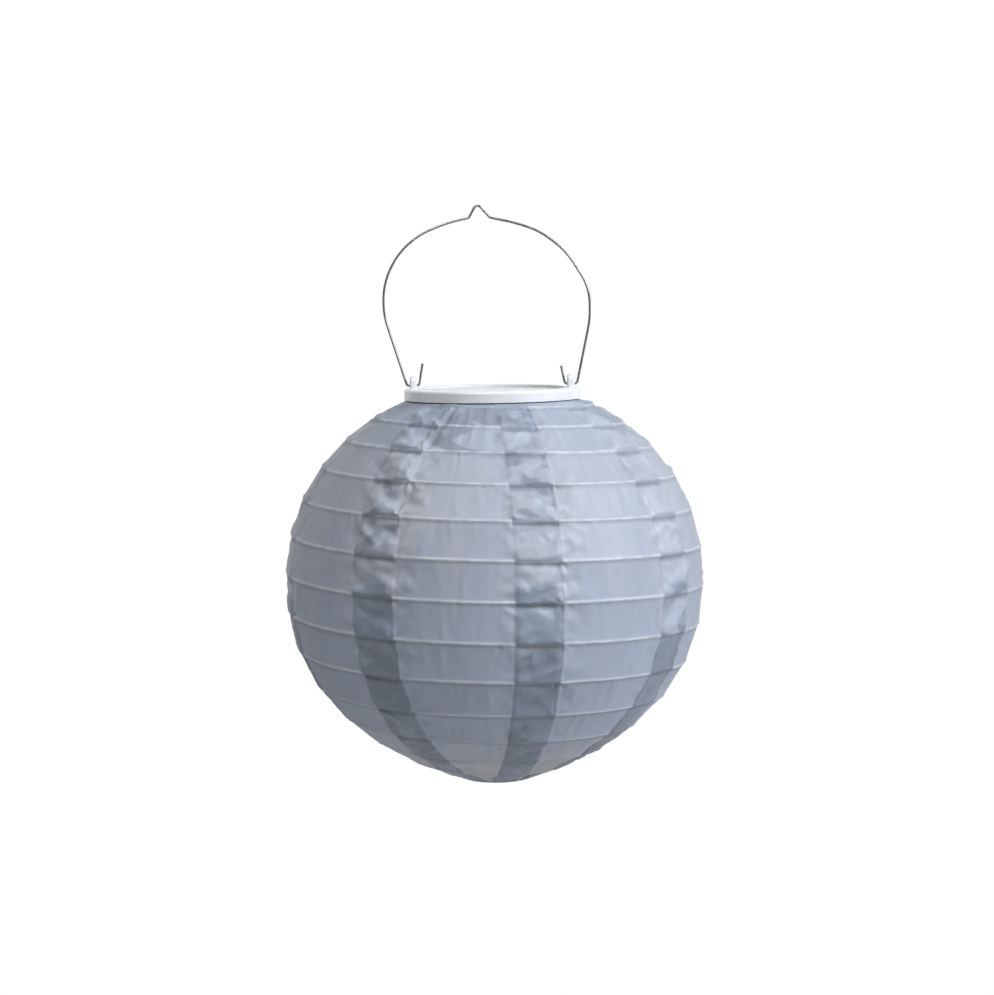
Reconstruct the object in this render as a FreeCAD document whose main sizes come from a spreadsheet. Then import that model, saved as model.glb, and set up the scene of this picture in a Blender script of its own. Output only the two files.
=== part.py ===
import FreeCAD, Part
import Sketcher
import math
import os

# A hanging solar lantern: a plastic lid with a solar panel, a wire bail, and a ball-shaped cloth shade
# sewn round one spiral of spring wire. Millimetres, +Z up.
# The origin lies on the lantern's axis, level with the underside of the ring at the bottom of the shade.

doc = FreeCAD.newDocument("solar_lantern")
sheet = doc.addObject("Spreadsheet::Sheet", "Sizes")

DRIVING = {
    # cloth shade
    "shade_dia": "250",
    "equator_level": "121.7",
    "upper_fullness": "2.1",
    "upper_roundness": "2",
    "lower_fullness": "2.3",
    "lower_roundness": "1.5",
    "cloth_thickness": "0.5",
    "shade_hang_gap": "0.4",
    # spiral wire in the shade
    "spiral_turns": "13.25",
    "spiral_start": "190",
    "spiral_growth": "0.0086",
    "spiral_end_turns": "0.14",
    "spiral_wire_dia": "1.2",
    "cloth_clearance": "0.15",
    # rings of the shade
    "bottom_ring_dia": "44",
    "ring_wire_dia": "1.8",
    "ring_clearance": "0.3",
    # expander
    "expander_wire_dia": "2",
    "expander_straight_length": "25",
    "expander_bend_radius": "20",
    "expander_reach": "1.3",
    "expander_turn": "135",
    # lid casing
    "lid_overhang": "1.7",
    "lid_level": "228.5",
    "lid_height": "6.5",
    "lid_wall": "2",
    "lid_rim_width": "9",
    "lid_rim_round": "1.6",
    "lid_floor": "1.5",
    "lid_groove_roof": "2",
    "spigot_wall": "1.8",
    "spigot_depth": "3.5",
    "spigot_clearance": "0.4",
    "notch_width": "5",
    # ears on the lid
    "ear_inset": "1.25",
    "ear_thickness": "4.3",
    "ear_width": "8",
    "ear_height": "7.7",
    "ear_edge": "0.9",
    "ear_hole_dia": "2.2",
    "pivot_height": "1.9",
    # bail
    "bail_wire_dia": "1.4",
    "bail_height": "106.3",
    "bail_left_bow": "13.2",
    "bail_right_bow": "8.1",
    "bail_peak_offset": "7.6",
    "bail_peak_left_width": "4.9",
    "bail_peak_right_width": "7.8",
    "bail_peak_bend": "2.2",
    "bail_foot_bend": "2",
    "bail_foot_gap": "1",
    "bail_left_hook_length": "13.2",
    "bail_right_hook_length": "10.8",
    "bail_hook_lean": "2.2",
    # solar panel
    "window_thickness": "1.2",
    "window_recess_depth": "1",
    "window_ledge": "2.5",
    "seal_width": "0.5",
    "panel_corner_gap": "2.8",
    "panel_thickness": "1",
    "cell_thickness": "0.3",
    "cell_gap": "1",
    "panel_border": "2",
    # housing under the lid
    "housing_clearance": "3.8",
    "housing_headroom": "3.9",
    "housing_wall": "1.6",
    "boss_dia": "6",
    "boss_inset": "7.4",
    "screw_dia": "2.4",
    "screw_head_dia": "5",
    "screw_head_height": "1.5",
    "screw_length": "9",
    "post_dia": "5",
    "post_spacing": "36",
    # battery
    "battery_dia": "14.2",
    "battery_length": "49.5",
    "battery_nub_dia": "5.5",
    "battery_nub_length": "1",
    "battery_rest_gap": "0.3",
    "bay_margin": "3.3",
    "contact_wall": "1.4",
    "contact_gap": "3.4",
    "contact_thickness": "0.4",
    "contact_width": "10",
    "spring_dia": "7.4",
    "spring_wire_dia": "0.7",
    "spring_turns": "3",
    "door_side_margin": "2.4",
    "door_end": "2.6",
    "door_dome_gap": "1",
    "door_gap": "0.3",
    "door_lug_length": "6",
    # circuit board and lamp
    "board_length": "46",
    "board_width": "24",
    "board_thickness": "1.2",
    "board_front": "5",
    "board_height": "8.7",
    "coil_dia": "6",
    "coil_height": "3.6",
    "chip_length": "4.8",
    "chip_width": "3.8",
    "chip_height": "1.4",
    "diode_length": "2.4",
    "diode_width": "1.2",
    "led_dia": "5",
    "led_length": "8.6",
    "led_flange_dia": "5.8",
    "led_flange_height": "1",
    "led_lead_width": "0.5",
    "led_lead_spacing": "2.54",
    "led_hole_gap": "0.1",
    "dome_dia": "13",
    "dome_wall": "1",
    "dome_skirt": "2",
    # switch
    "switch_length": "9",
    "switch_width": "4.5",
    "switch_height": "4",
    "switch_offset": "27",
    "knob_length": "2.4",
    "knob_width": "2",
    "knob_reach": "1.6",
    "knob_travel": "2",
    "knob_gap": "0.3",
    # leads from the panel
    "lead_dia": "1.3",
    "lead_spacing": "3",
    "lead_offset": "12",
    "lead_hole_gap": "1",
    # one overrun for all cuts
    "overrun": "1",
}


class Size:
    """A number together with the formula that it comes from, so that an object can be bound to it."""

    def __init__(self, value, text):
        self.value = float(value)
        self.text = text

    def __add__(self, other):
        other = as_size(other)
        return Size(self.value + other.value, f"({self.text} + {other.text})")

    def __sub__(self, other):
        other = as_size(other)
        return Size(self.value - other.value, f"({self.text} - {other.text})")

    def __mul__(self, other):
        other = as_size(other)
        return Size(self.value * other.value, f"({self.text} * {other.text})")

    def __truediv__(self, other):
        other = as_size(other)
        return Size(self.value / other.value, f"({self.text} / {other.text})")

    def __neg__(self):
        return Size(-self.value, f"(-{self.text})")


def as_size(number):
    """A plain number as a Size; a Size stays as it is."""
    return number if isinstance(number, Size) else Size(number, repr(number))


def diagonal(one, other):
    """The diagonal over two sides at right angles."""
    return Size(math.hypot(one.value, other.value), f"sqrt({one.text} ^ 2 + {other.text} ^ 2)")


class Sheet:
    """The driving sizes by name."""


for row, (alias, text) in enumerate(DRIVING.items(), start=1):
    sheet.set(f"A{row}", alias)
    sheet.set(f"B{row}", text)
    sheet.setAlias(f"B{row}", alias)
    setattr(Sheet, alias, Size(float(text), f"Sizes.{alias}"))
doc.recompute()
s = Sheet
ZERO = Size(0, "0")

# The battery bay sets the housing's size. The spigot, the top ring and the lid follow from that.
battery_radius = s.battery_dia / 2
contact_x = s.battery_length / 2 + s.contact_gap
door_width = s.battery_dia + s.door_side_margin * 2
battery_y = -(s.dome_dia / 2 + s.door_dome_gap + door_width / 2)
bay_corner = diagonal(contact_x + s.contact_wall, battery_radius - battery_y)
housing_radius = bay_corner + s.bay_margin + s.housing_wall
ring_wire_radius = s.ring_wire_dia / 2
spigot_radius = housing_radius + s.housing_clearance + s.spigot_wall
top_ring_radius = spigot_radius + s.spigot_clearance + ring_wire_radius
top_ring_outer = top_ring_radius + ring_wire_radius
lid_radius = top_ring_outer + s.lid_overhang

# Levels and radii that several pieces share
lid_top = s.lid_level + s.lid_height
rim_inner_radius = lid_radius - s.lid_rim_width
window_top = lid_top - s.window_recess_depth
window_under = window_top - s.window_thickness
pocket_radius = rim_inner_radius - s.window_ledge
panel_level = window_under - s.cell_thickness * 2 - s.panel_thickness
floor_under = panel_level - s.lid_floor
panel_side = pocket_radius * math.sqrt(2) - s.panel_corner_gap * math.sqrt(2)
top_ring_level = s.lid_level - s.shade_hang_gap - ring_wire_radius
pivot_level = lid_top + s.pivot_height
ear_x = rim_inner_radius + s.ear_inset + s.ear_thickness / 2
housing_depth = s.housing_wall + s.battery_rest_gap + s.battery_dia + s.housing_headroom
housing_under = floor_under - housing_depth
housing_floor = housing_under + s.housing_wall
battery_level = housing_floor + s.battery_rest_gap + battery_radius
board_level = housing_floor + s.board_height
bottom_ring_radius = s.bottom_ring_dia / 2 - ring_wire_radius


def bind(thing, formulas):
    """Bind properties of an object to sizes."""
    for name, size in formulas.items():
        thing.setExpression(name, as_size(size).text)


def place(thing, x, y, z):
    """Bind an object's position."""
    bind(thing, {"Placement.Base.x": x, "Placement.Base.y": y, "Placement.Base.z": z})


def named(thing, label):
    thing.Label = label
    return thing


def cylinder(name, radius, height, x, y, z, along="Z"):
    """A cylinder that starts at x, y, z and runs up, or along +X."""
    made = doc.addObject("Part::Cylinder", name)
    if along == "X":
        made.Placement.Rotation = FreeCAD.Rotation(FreeCAD.Vector(0, 1, 0), 90)
    bind(made, {"Radius": radius, "Height": height})
    place(made, x, y, z)
    return made


def block(name, length, width, height, x, y, z):
    """A box centred on x and y, standing on z."""
    made = doc.addObject("Part::Box", name)
    bind(made, {"Length": length, "Width": width, "Height": height})
    place(made, x - length / 2, y - width / 2, z)
    return made


def fused(name, pieces):
    made = doc.addObject("Part::MultiFuse", name)
    made.Shapes = pieces
    made.Refine = True
    return made


def grouped(name, pieces):
    """Separate solids that share one node."""
    made = doc.addObject("Part::Compound", name)
    made.Links = pieces
    return made


def cut(name, base, tools):
    """The base with every tool taken away."""
    made = doc.addObject("Part::Cut", name)
    made.Base = base
    made.Tool = tools[0] if len(tools) == 1 else fused(name + "_tools", tools)
    made.Refine = True
    return made


def origin_plane(body, role):
    return next(part for part in body.Origin.OriginFeatures if part.Role == role)


def profile_sketch(body, name, role, corners):
    """A closed outline of straight lines whose corners are bound to sizes, on one of the body's planes."""
    sketch = body.newObject("Sketcher::SketchObject", name)
    sketch.AttachmentSupport = [(origin_plane(body, role), "")]
    sketch.MapMode = "FlatFace"
    count = len(corners)
    points = [FreeCAD.Vector(across.value, up.value, 0) for across, up in corners]
    for index in range(count):
        sketch.addGeometry(Part.LineSegment(points[index], points[(index + 1) % count]), False)
    for index in range(count):
        following = (index + 1) % count
        sketch.addConstraint(Sketcher.Constraint("Coincident", index, 2, following, 1))
    for index, (across, up) in enumerate(corners):
        for kind, size in (("DistanceX", across), ("DistanceY", up)):
            if size.value == 0:
                line = -2 if kind == "DistanceX" else -1
                sketch.addConstraint(Sketcher.Constraint("PointOnObject", index, 1, line))
            else:
                where = sketch.addConstraint(Sketcher.Constraint(kind, -1, 1, index, 1, size.value))
                sketch.setExpression(f"Constraints[{where}]", size.text)
    return sketch


def turned(name, corners, level):
    """A PartDesign body: a half outline turned round the Z axis. Corners are radius and height over level."""
    body = doc.addObject("PartDesign::Body", name)
    sketch = profile_sketch(body, name + "_outline", "XZ_Plane", corners)
    turn = body.newObject("PartDesign::Revolution", name + "_turn")
    turn.Profile = sketch
    turn.ReferenceAxis = (sketch, ["V_Axis"])
    turn.Angle = 360
    place(body, ZERO, ZERO, level)
    doc.recompute()
    return body


def rounded(body, name, radius, wanted, kind="PartDesign::Fillet"):
    """Round or chamfer the edges of the body that a test picks."""
    base = body.Tip
    picked = [f"Edge{number}" for number, edge in enumerate(base.Shape.Edges, start=1) if wanted(edge)]
    made = body.newObject(kind, name)
    made.Base = (base, picked)
    bind(made, {"Radius" if kind == "PartDesign::Fillet" else "Size": radius})
    doc.recompute()
    return made


def feature(name, shape):
    """An object that holds a shape made by the functions below."""
    made = doc.addObject("Part::Feature", name)
    made.Shape = shape
    made.Placement = FreeCAD.Placement()
    return made


def bent_path(corners, bends):
    """A wire of straight runs joined by tangent arcs. bends holds a radius for each inner corner."""
    edges = []
    start = corners[0]
    for before, corner, after, bend in zip(corners, corners[1:], corners[2:], bends):
        inward = (before - corner).normalize()
        outward = (after - corner).normalize()
        half = inward.getAngle(outward) / 2
        reach = bend / math.tan(half)
        first = corner + inward * reach
        last = corner + outward * reach
        middle_direction = (inward + outward).normalize()
        centre = corner + middle_direction * (bend / math.sin(half))
        middle = centre - middle_direction * bend
        edges.append(Part.LineSegment(start, first).toShape())
        edges.append(Part.Arc(first, middle, last).toShape())
        start = last
    edges.append(Part.LineSegment(start, corners[-1]).toShape())
    return Part.Wire(edges)


def tube_along(path, radius):
    """A round wire along a path, by a pipe shell in its default mode."""
    first = path.Edges[0]
    start = first.valueAt(first.FirstParameter)
    heading = first.tangentAt(first.FirstParameter)
    ring = Part.Wire([Part.Circle(start, heading, radius).toShape()])
    return path.makePipeShell([ring], True, False)


# The lid casing: raised rim, recess and ledge for the window, pocket for the panel, and the spigot that
# the shade's top ring slips over
def make_lid_casing():
    groove_roof = s.lid_height - s.lid_groove_roof
    outline = [
        (lid_radius, ZERO),
        (lid_radius, s.lid_height),
        (rim_inner_radius, s.lid_height),
        (rim_inner_radius, window_under - s.lid_level),
        (pocket_radius, window_under - s.lid_level),
        (pocket_radius, panel_level - s.lid_level),
        (ZERO, panel_level - s.lid_level),
        (ZERO, floor_under - s.lid_level),
        (spigot_radius - s.spigot_wall, floor_under - s.lid_level),
        (spigot_radius - s.spigot_wall, -s.spigot_depth),
        (spigot_radius, -s.spigot_depth),
        (spigot_radius, groove_roof),
        (lid_radius - s.lid_wall, groove_roof),
        (lid_radius - s.lid_wall, ZERO),
    ]
    shell = turned("lid_shell", outline, s.lid_level)

    def on_outer_top(edge):
        box = edge.BoundBox
        at_top = abs(box.ZMin - lid_top.value) < 1e-6 and abs(box.ZMax - lid_top.value) < 1e-6
        at_base = abs(box.ZMin - s.lid_height.value) < 1e-6 and abs(box.ZMax - s.lid_height.value) < 1e-6
        return (at_top or at_base) and abs(box.XMax - lid_radius.value) < 1e-6

    rounded(shell, "lid_rim_rounding", s.lid_rim_round, on_outer_top)
    pieces = [shell, make_ear("ear_right", 0), make_ear("ear_left", 180)]
    holes = []
    boss_length = floor_under - housing_floor
    for number in range(3):
        x, y = boss_place(number)
        pieces.append(cylinder(f"boss_{number}", s.boss_dia / 2, boss_length + s.lid_floor / 2, x, y,
                               housing_floor))
        depth = s.screw_length - s.housing_wall
        holes.append(cylinder(f"boss_hole_{number}", s.screw_dia / 2, depth + s.overrun, x, y,
                              housing_floor - s.overrun))
    casing = fused("lid_casing_solid", pieces)
    hole_length = ear_x * 2 + s.ear_thickness + s.overrun * 2
    holes.append(cylinder("ear_holes", s.ear_hole_dia / 2, hole_length, -hole_length / 2, ZERO, pivot_level,
                          "X"))
    notch = block("expander_notch", spigot_radius * 2 + s.overrun, s.notch_width, s.spigot_depth, ZERO, ZERO,
                  s.lid_level - s.spigot_depth)
    spun = doc.addObject("Part::Compound", "expander_notch_turned")
    spun.Links = [notch]
    spun.Placement.Rotation = FreeCAD.Rotation(FreeCAD.Vector(0, 0, 1), 0)
    spun.setExpression("Placement.Rotation.Angle", s.expander_turn.text)
    holes.append(spun)
    lead_slot = s.lead_spacing + s.lead_dia + s.lead_hole_gap
    slot_height = s.lid_floor + s.overrun * 2
    holes.append(block("lead_slot", lead_slot, s.lead_dia + s.lead_hole_gap, slot_height, ZERO, s.lead_offset,
                       floor_under - s.overrun))
    return named(cut("lid_top_casing", casing, holes), "lid_top_casing")


def boss_place(number):
    """The centre of one screw boss: three on a circle, one of them behind the battery."""
    turn = math.radians(30 + 120 * number)
    radius = housing_radius - s.housing_wall - s.boss_inset
    return radius * math.cos(turn), radius * math.sin(turn)


def make_ear(name, turn):
    """One ear: a plate with a round top and chamfered edges, on the rim at +X, turned round the axis."""
    body = doc.addObject("PartDesign::Body", name)
    sketch = body.newObject("Sketcher::SketchObject", name + "_outline")
    sketch.AttachmentSupport = [(origin_plane(body, "YZ_Plane"), "")]
    sketch.MapMode = "FlatFace"
    half = s.ear_width / 2
    shoulder = s.ear_height - half
    low_left = FreeCAD.Vector(-half.value, 0, 0)
    low_right = FreeCAD.Vector(half.value, 0, 0)
    high_left = FreeCAD.Vector(-half.value, shoulder.value, 0)
    high_right = FreeCAD.Vector(half.value, shoulder.value, 0)
    top = Part.Circle(FreeCAD.Vector(0, shoulder.value, 0), FreeCAD.Vector(0, 0, 1), half.value)
    sketch.addGeometry(Part.LineSegment(low_left, low_right), False)
    sketch.addGeometry(Part.LineSegment(low_right, high_right), False)
    sketch.addGeometry(Part.ArcOfCircle(top, 0, math.pi), False)
    sketch.addGeometry(Part.LineSegment(high_left, low_left), False)
    for one, one_end, other, other_end in ((0, 2, 1, 1), (1, 2, 2, 1), (2, 2, 3, 1), (3, 2, 0, 1)):
        sketch.addConstraint(Sketcher.Constraint("Coincident", one, one_end, other, other_end))
    sketch.addConstraint(Sketcher.Constraint("Horizontal", 0))
    sketch.addConstraint(Sketcher.Constraint("Vertical", 1))
    sketch.addConstraint(Sketcher.Constraint("Vertical", 3))
    sketch.addConstraint(Sketcher.Constraint("PointOnObject", 0, 1, -1))
    sketch.addConstraint(Sketcher.Constraint("PointOnObject", 2, 3, -2))
    radius = sketch.addConstraint(Sketcher.Constraint("Radius", 2, half.value))
    sketch.setExpression(f"Constraints[{radius}]", half.text)
    height = sketch.addConstraint(Sketcher.Constraint("DistanceY", -1, 1, 2, 3, shoulder.value))
    sketch.setExpression(f"Constraints[{height}]", shoulder.text)
    pad = body.newObject("PartDesign::Pad", name + "_pad")
    pad.Profile = sketch
    pad.Midplane = True
    bind(pad, {"Length": s.ear_thickness})
    doc.recompute()

    def on_round_top(edge):
        return edge.BoundBox.ZMin > -1e-6 and edge.BoundBox.XLength < 1e-6 and edge.BoundBox.ZMax > 1e-3

    rounded(body, name + "_edges", s.ear_edge, on_round_top, "PartDesign::Chamfer")
    body.Placement.Rotation = FreeCAD.Rotation(FreeCAD.Vector(0, 0, 1), turn)
    place(body, ear_x if turn == 0 else -ear_x, ZERO, lid_top)
    return body


# Solar panel under its window
def make_panel():
    window = named(cylinder("panel_window", rim_inner_radius - s.seal_width, s.window_thickness, ZERO, ZERO,
                            window_under), "panel_window")
    bead = cylinder("seal_outside", rim_inner_radius, s.window_thickness, ZERO, ZERO, window_under)
    inside = cylinder("seal_inside", rim_inner_radius - s.seal_width, s.window_thickness, ZERO, ZERO,
                      window_under)
    seal = named(cut("panel_seal", bead, [inside]), "panel_seal")
    board = named(block("solar_cell_board", panel_side, panel_side, s.panel_thickness, ZERO, ZERO,
                        panel_level), "solar_cell_board")
    strips = []
    count = 4
    field = panel_side - s.panel_border * 2
    strip_width = (field - s.cell_gap * (count - 1)) / count
    for number in range(count):
        x = (strip_width + s.cell_gap) * (number - (count - 1) / 2)
        strips.append(block(f"cell_{number}", strip_width, field, s.cell_thickness, x, ZERO,
                            panel_level + s.panel_thickness))
    cells = named(grouped("solar_cells", strips), "solar_cells")
    leads = []
    for side, colour in ((-1, "red"), (1, "black")):
        length = panel_level - board_level - s.board_thickness
        leads.append(named(cylinder(f"panel_lead_{colour}", s.lead_dia / 2, length, s.lead_spacing / 2 * side,
                                    s.lead_offset, board_level + s.board_thickness), f"panel_lead_{colour}"))
    return [window, seal, board, cells] + leads


# The tub under the lid: battery bay with its door opening, lamp hole, switch slot and board posts
def make_housing():
    tub = [
        (ZERO, ZERO),
        (housing_radius, ZERO),
        (housing_radius, housing_depth),
        (housing_radius - s.housing_wall, housing_depth),
        (housing_radius - s.housing_wall, s.housing_wall),
        (ZERO, s.housing_wall),
    ]
    shell = turned("tub_shell", tub, housing_under)

    def on_lower_rim(edge):
        box = edge.BoundBox
        low = abs(box.ZMax - box.ZMin) < 1e-6 and abs(box.ZMin - shell_bottom) < 1e-6
        return low and abs(box.XMax - housing_radius.value) < 1e-6

    shell_bottom = min(edge.BoundBox.ZMin for edge in shell.Tip.Shape.Edges)
    rounded(shell, "tub_rounding", s.housing_wall / 2, on_lower_rim)
    solids = [shell]
    for side, word in ((-1, "left"), (1, "right")):
        solids.append(cylinder(f"board_post_{word}", s.post_dia / 2, s.board_height, s.post_spacing / 2 * side,
                               s.lead_offset, housing_floor))
        solids.append(block(f"contact_wall_{word}", s.contact_wall, s.battery_dia, s.battery_dia,
                            (contact_x + s.contact_wall / 2) * side, battery_y, housing_floor))
    through = s.housing_wall + s.overrun * 2
    below = housing_under - s.overrun
    holes = [block("door_opening", door_length() + s.door_gap * 2, door_width + s.door_gap * 2, through, ZERO,
                   battery_y, below)]
    holes.append(cylinder("lamp_hole", s.led_dia / 2 + s.led_hole_gap, through, ZERO, ZERO, below))
    slot_length = s.knob_length + s.knob_travel + s.knob_gap * 2
    holes.append(block("switch_slot", slot_length, s.knob_width + s.knob_gap * 2, through, ZERO,
                       s.switch_offset, below))
    for number in range(3):
        x, y = boss_place(number)
        holes.append(cylinder(f"screw_hole_{number}", s.screw_dia / 2, through, x, y, below))
        holes.append(cylinder(f"screw_seat_{number}", s.screw_head_dia / 2,
                              s.screw_head_height / 2 + s.overrun, x, y, below))
    housing = fused("housing_solid", solids)
    return named(cut("lid_bottom_housing", housing, holes), "lid_bottom_housing")


def door_length():
    return contact_x * 2 - s.door_end


def make_screws():
    """Three self-tapping screws that go up through the housing into the casing's bosses."""
    screws = []
    for number in range(3):
        x, y = boss_place(number)
        seat = housing_under + s.screw_head_height / 2
        head = cylinder(f"screw_head_{number}", s.screw_head_dia / 2, s.screw_head_height, x, y,
                        seat - s.screw_head_height)
        shank = cylinder(f"screw_shank_{number}", s.screw_dia / 2, s.screw_length - s.screw_head_height / 2,
                         x, y, seat)
        screws.append(fused(f"screw_{number}", [head, shank]))
    return [named(grouped("housing_screws", screws), "housing_screws")]


def make_battery():
    """One AA cell lying along X between a coiled contact and a flat one."""
    left = -s.battery_length / 2
    can = cylinder("battery_can", battery_radius, s.battery_length, left, battery_y, battery_level, "X")
    nub = cylinder("battery_nub", s.battery_nub_dia / 2, s.battery_nub_length, -left, battery_y,
                   battery_level, "X")
    cell = named(fused("battery_cell", [can, nub]), "battery_cell")
    plate = named(block("battery_plate", s.contact_thickness, s.contact_width, s.contact_width,
                        contact_x - s.contact_thickness / 2, battery_y, battery_level - s.contact_width / 2),
                  "battery_plate")
    return [cell, plate, make_spring(left)]


def make_spring(left):
    """The coiled contact, one unbroken wire from the contact wall to the flat end of the battery."""
    wire = s.spring_wire_dia / 2
    room = left + contact_x - wire * 2
    helix = doc.addObject("Part::Helix", "spring_path")
    bind(helix, {
        "Pitch": room / s.spring_turns,
        "Height": room,
        "Radius": s.spring_dia / 2 - wire,
    })
    section = doc.addObject("Part::Circle", "spring_section")
    bind(section, {"Radius": wire})
    place(section, s.spring_dia / 2 - wire, ZERO, ZERO)
    section.Placement.Rotation = FreeCAD.Rotation(FreeCAD.Vector(1, 0, 0), 90)
    coil = doc.addObject("Part::Sweep", "battery_spring")
    coil.Sections = [section]
    doc.recompute()
    coil.Spine = (helix, [f"Edge{number}" for number in range(1, len(helix.Shape.Edges) + 1)])
    coil.Solid = True
    coil.Frenet = True
    coil.Placement.Rotation = FreeCAD.Rotation(FreeCAD.Vector(0, 1, 0), 90)
    place(coil, -contact_x + wire, battery_y, battery_level)
    return named(coil, "battery_spring")


def make_door():
    """The battery door, which fits flush in the housing, and the screw in its lug."""
    plate = block("door_plate", door_length(), door_width, s.housing_wall, ZERO, battery_y, housing_under)
    hole_x = door_length() / 2 - s.door_lug_length / 2
    lift = s.screw_head_height / 2
    hole = cylinder("door_screw_hole", s.screw_dia / 2, s.housing_wall + s.overrun * 2, hole_x, battery_y,
                    housing_under - s.overrun)
    seat = cylinder("door_screw_seat", s.screw_head_dia / 2, lift + s.overrun, hole_x, battery_y,
                    housing_under - s.overrun)
    door = named(cut("battery_door", plate, [hole, seat]), "battery_door")
    head = cylinder("door_screw_head", s.screw_head_dia / 2, s.screw_head_height, hole_x, battery_y,
                    housing_under + lift - s.screw_head_height)
    shank = cylinder("door_screw_shank", s.screw_dia / 2, s.housing_wall - lift, hole_x, battery_y,
                     housing_under + lift)
    return [door, named(fused("battery_door_screw", [head, shank]), "battery_door_screw")]


# The board with its parts, the lamp and the dome over it
def make_board():
    middle_y = s.board_width / 2 - s.board_front
    plate = block("board_plate", s.board_length, s.board_width, s.board_thickness, ZERO, middle_y,
                  board_level)
    board = named(plate, "circuit_board")
    top = board_level + s.board_thickness
    coil = cylinder("coil_part", s.coil_dia / 2, s.coil_height, -s.board_length / 4, middle_y, top)
    chip = block("chip_part", s.chip_length, s.chip_width, s.chip_height, s.board_length / 4, middle_y, top)
    diode = block("diode_part", s.diode_length, s.diode_width, s.diode_width, ZERO, -s.board_front / 2, top)
    parts = named(grouped("board_components", [coil, chip, diode]), "board_components")
    return [board, parts]


def make_lamp():
    radius = s.led_dia / 2
    reach = s.led_length - s.led_flange_height
    flange_top = housing_floor + s.led_flange_height
    lens = [
        (ZERO, ZERO),
        (s.led_flange_dia / 2, ZERO),
        (s.led_flange_dia / 2, -s.led_flange_height),
        (radius, -s.led_flange_height),
        (radius, -reach - s.led_flange_height + radius),
        (ZERO, -reach - s.led_flange_height + radius),
    ]
    stem = turned("led_stem", lens, flange_top)
    tip = doc.addObject("Part::Sphere", "led_tip")
    bind(tip, {"Radius": radius})
    place(tip, ZERO, ZERO, flange_top - s.led_length + radius)
    bulb = named(fused("led_bulb", [stem, tip]), "led_bulb")
    leads = []
    for side in (-1, 1):
        leads.append(block(f"led_lead_{'left' if side < 0 else 'right'}", s.led_lead_width, s.led_lead_width,
                           board_level - flange_top, s.led_lead_spacing / 2 * side, ZERO, flange_top))
    pins = named(grouped("led_leads", leads), "led_leads")
    outer = s.dome_dia / 2
    inner = outer - s.dome_wall
    shells = []
    for name, size in (("dome_outside", outer), ("dome_inside", inner)):
        ball = doc.addObject("Part::Sphere", name + "_ball")
        bind(ball, {"Radius": size})
        place(ball, ZERO, ZERO, housing_under - s.dome_skirt)
        skirt = cylinder(name + "_skirt", size, s.dome_skirt, ZERO, ZERO, housing_under - s.dome_skirt)
        shells.append(fused(name, [ball, skirt]))
    above = cylinder("dome_open_top", s.dome_dia, s.dome_dia, ZERO, ZERO, housing_under)
    dome = named(cut("led_diffuser", shells[0], [shells[1], above]), "led_diffuser")
    return [bulb, pins, dome]


def make_switch():
    body = named(block("switch_body", s.switch_length, s.switch_width, s.switch_height, ZERO, s.switch_offset,
                       housing_floor), "switch_body")
    knob = named(block("switch_knob", s.knob_length, s.knob_width, s.housing_wall + s.knob_reach - s.knob_gap,
                       -s.knob_travel / 2, s.switch_offset, housing_under - s.knob_reach), "switch_knob")
    return [body, knob]


# The bail: one wire from a hooked end in one ear, over the peak, to the other ear. Each half is drawn by corners
# and bends: how far across as a share of its reach, how far up as a share of the bail's height, and the bend's
# radius as a share of the reach.
LEFT_SHARES = (
    (1.0, 0.397, 0.70),
    (1.0, 0.572, 0.655),
    (0.854, 0.748, 0.686),
    (0.638, 0.850, 0.74),
    (0.388, 0.909, 1.36),
)
RIGHT_SHARES = (
    (1.0, 0.360, 0.97),
    (1.0, 0.537, 0.557),
    (0.759, 0.748, 0.815),
    (0.494, 0.857, 0.78),
    (0.244, 0.905, 1.5),
)
FOOT_SHARE = 0.933


def bail_side(side, bow, hook_length, shares, peak_width):
    """Corners and bends of one half of the bail, from its hooked end to the foot of the peak."""
    level = pivot_level.value
    height = s.bail_height.value
    wire = s.bail_wire_dia.value
    inner = ear_x.value - s.ear_thickness.value / 2 - wire / 2 - s.bail_foot_gap.value / 2
    outer = ear_x.value + s.ear_thickness.value / 2 + wire / 2 + s.bail_foot_gap.value
    reach = outer + bow.value
    corners = [(inner - s.bail_hook_lean.value, level + hook_length.value), (inner, level), (outer, level)]
    corners += [(reach * across, level + height * up) for across, up, bend in shares]
    points = [FreeCAD.Vector(side * x, 0, z) for x, z in corners]
    foot_x = side * peak_width.value - s.bail_peak_offset.value
    points.append(FreeCAD.Vector(foot_x, 0, level + height * FOOT_SHARE))
    foot = s.bail_foot_bend.value
    bends = [foot, foot] + [reach * bend for across, up, bend in shares] + [foot]
    return points, bends


def peak_corner(left_foot, right_foot):
    """The corner over the two feet whose bend just reaches the bail's height, found in a few rounds."""
    bend = s.bail_peak_bend.value
    top = pivot_level.value + s.bail_height.value
    corner = FreeCAD.Vector(-s.bail_peak_offset.value, 0, top)
    for _ in range(20):
        half = (left_foot - corner).getAngle(right_foot - corner) / 2
        corner.z = top + bend * (1 / math.sin(half) - 1)
    return corner


def make_bail():
    left, left_bends = bail_side(-1, s.bail_left_bow, s.bail_left_hook_length, LEFT_SHARES, s.bail_peak_left_width)
    right, right_bends = bail_side(1, s.bail_right_bow, s.bail_right_hook_length, RIGHT_SHARES,
                                   s.bail_peak_right_width)
    corners = left + [peak_corner(left[-1], right[-1])] + right[::-1]
    path = bent_path(corners, left_bends + [s.bail_peak_bend.value] + right_bends[::-1])
    bail = tube_along(path, s.bail_wire_dia.value / 2)
    print(f"bail wire: {path.Length:.1f} mm long, peak at {path.BoundBox.ZMax:.2f}")
    print("bail volume over section times length:",
          round(bail.Volume / (math.pi * (s.bail_wire_dia.value / 2) ** 2 * path.Length), 5))
    return feature("bail_wire", bail)


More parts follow.
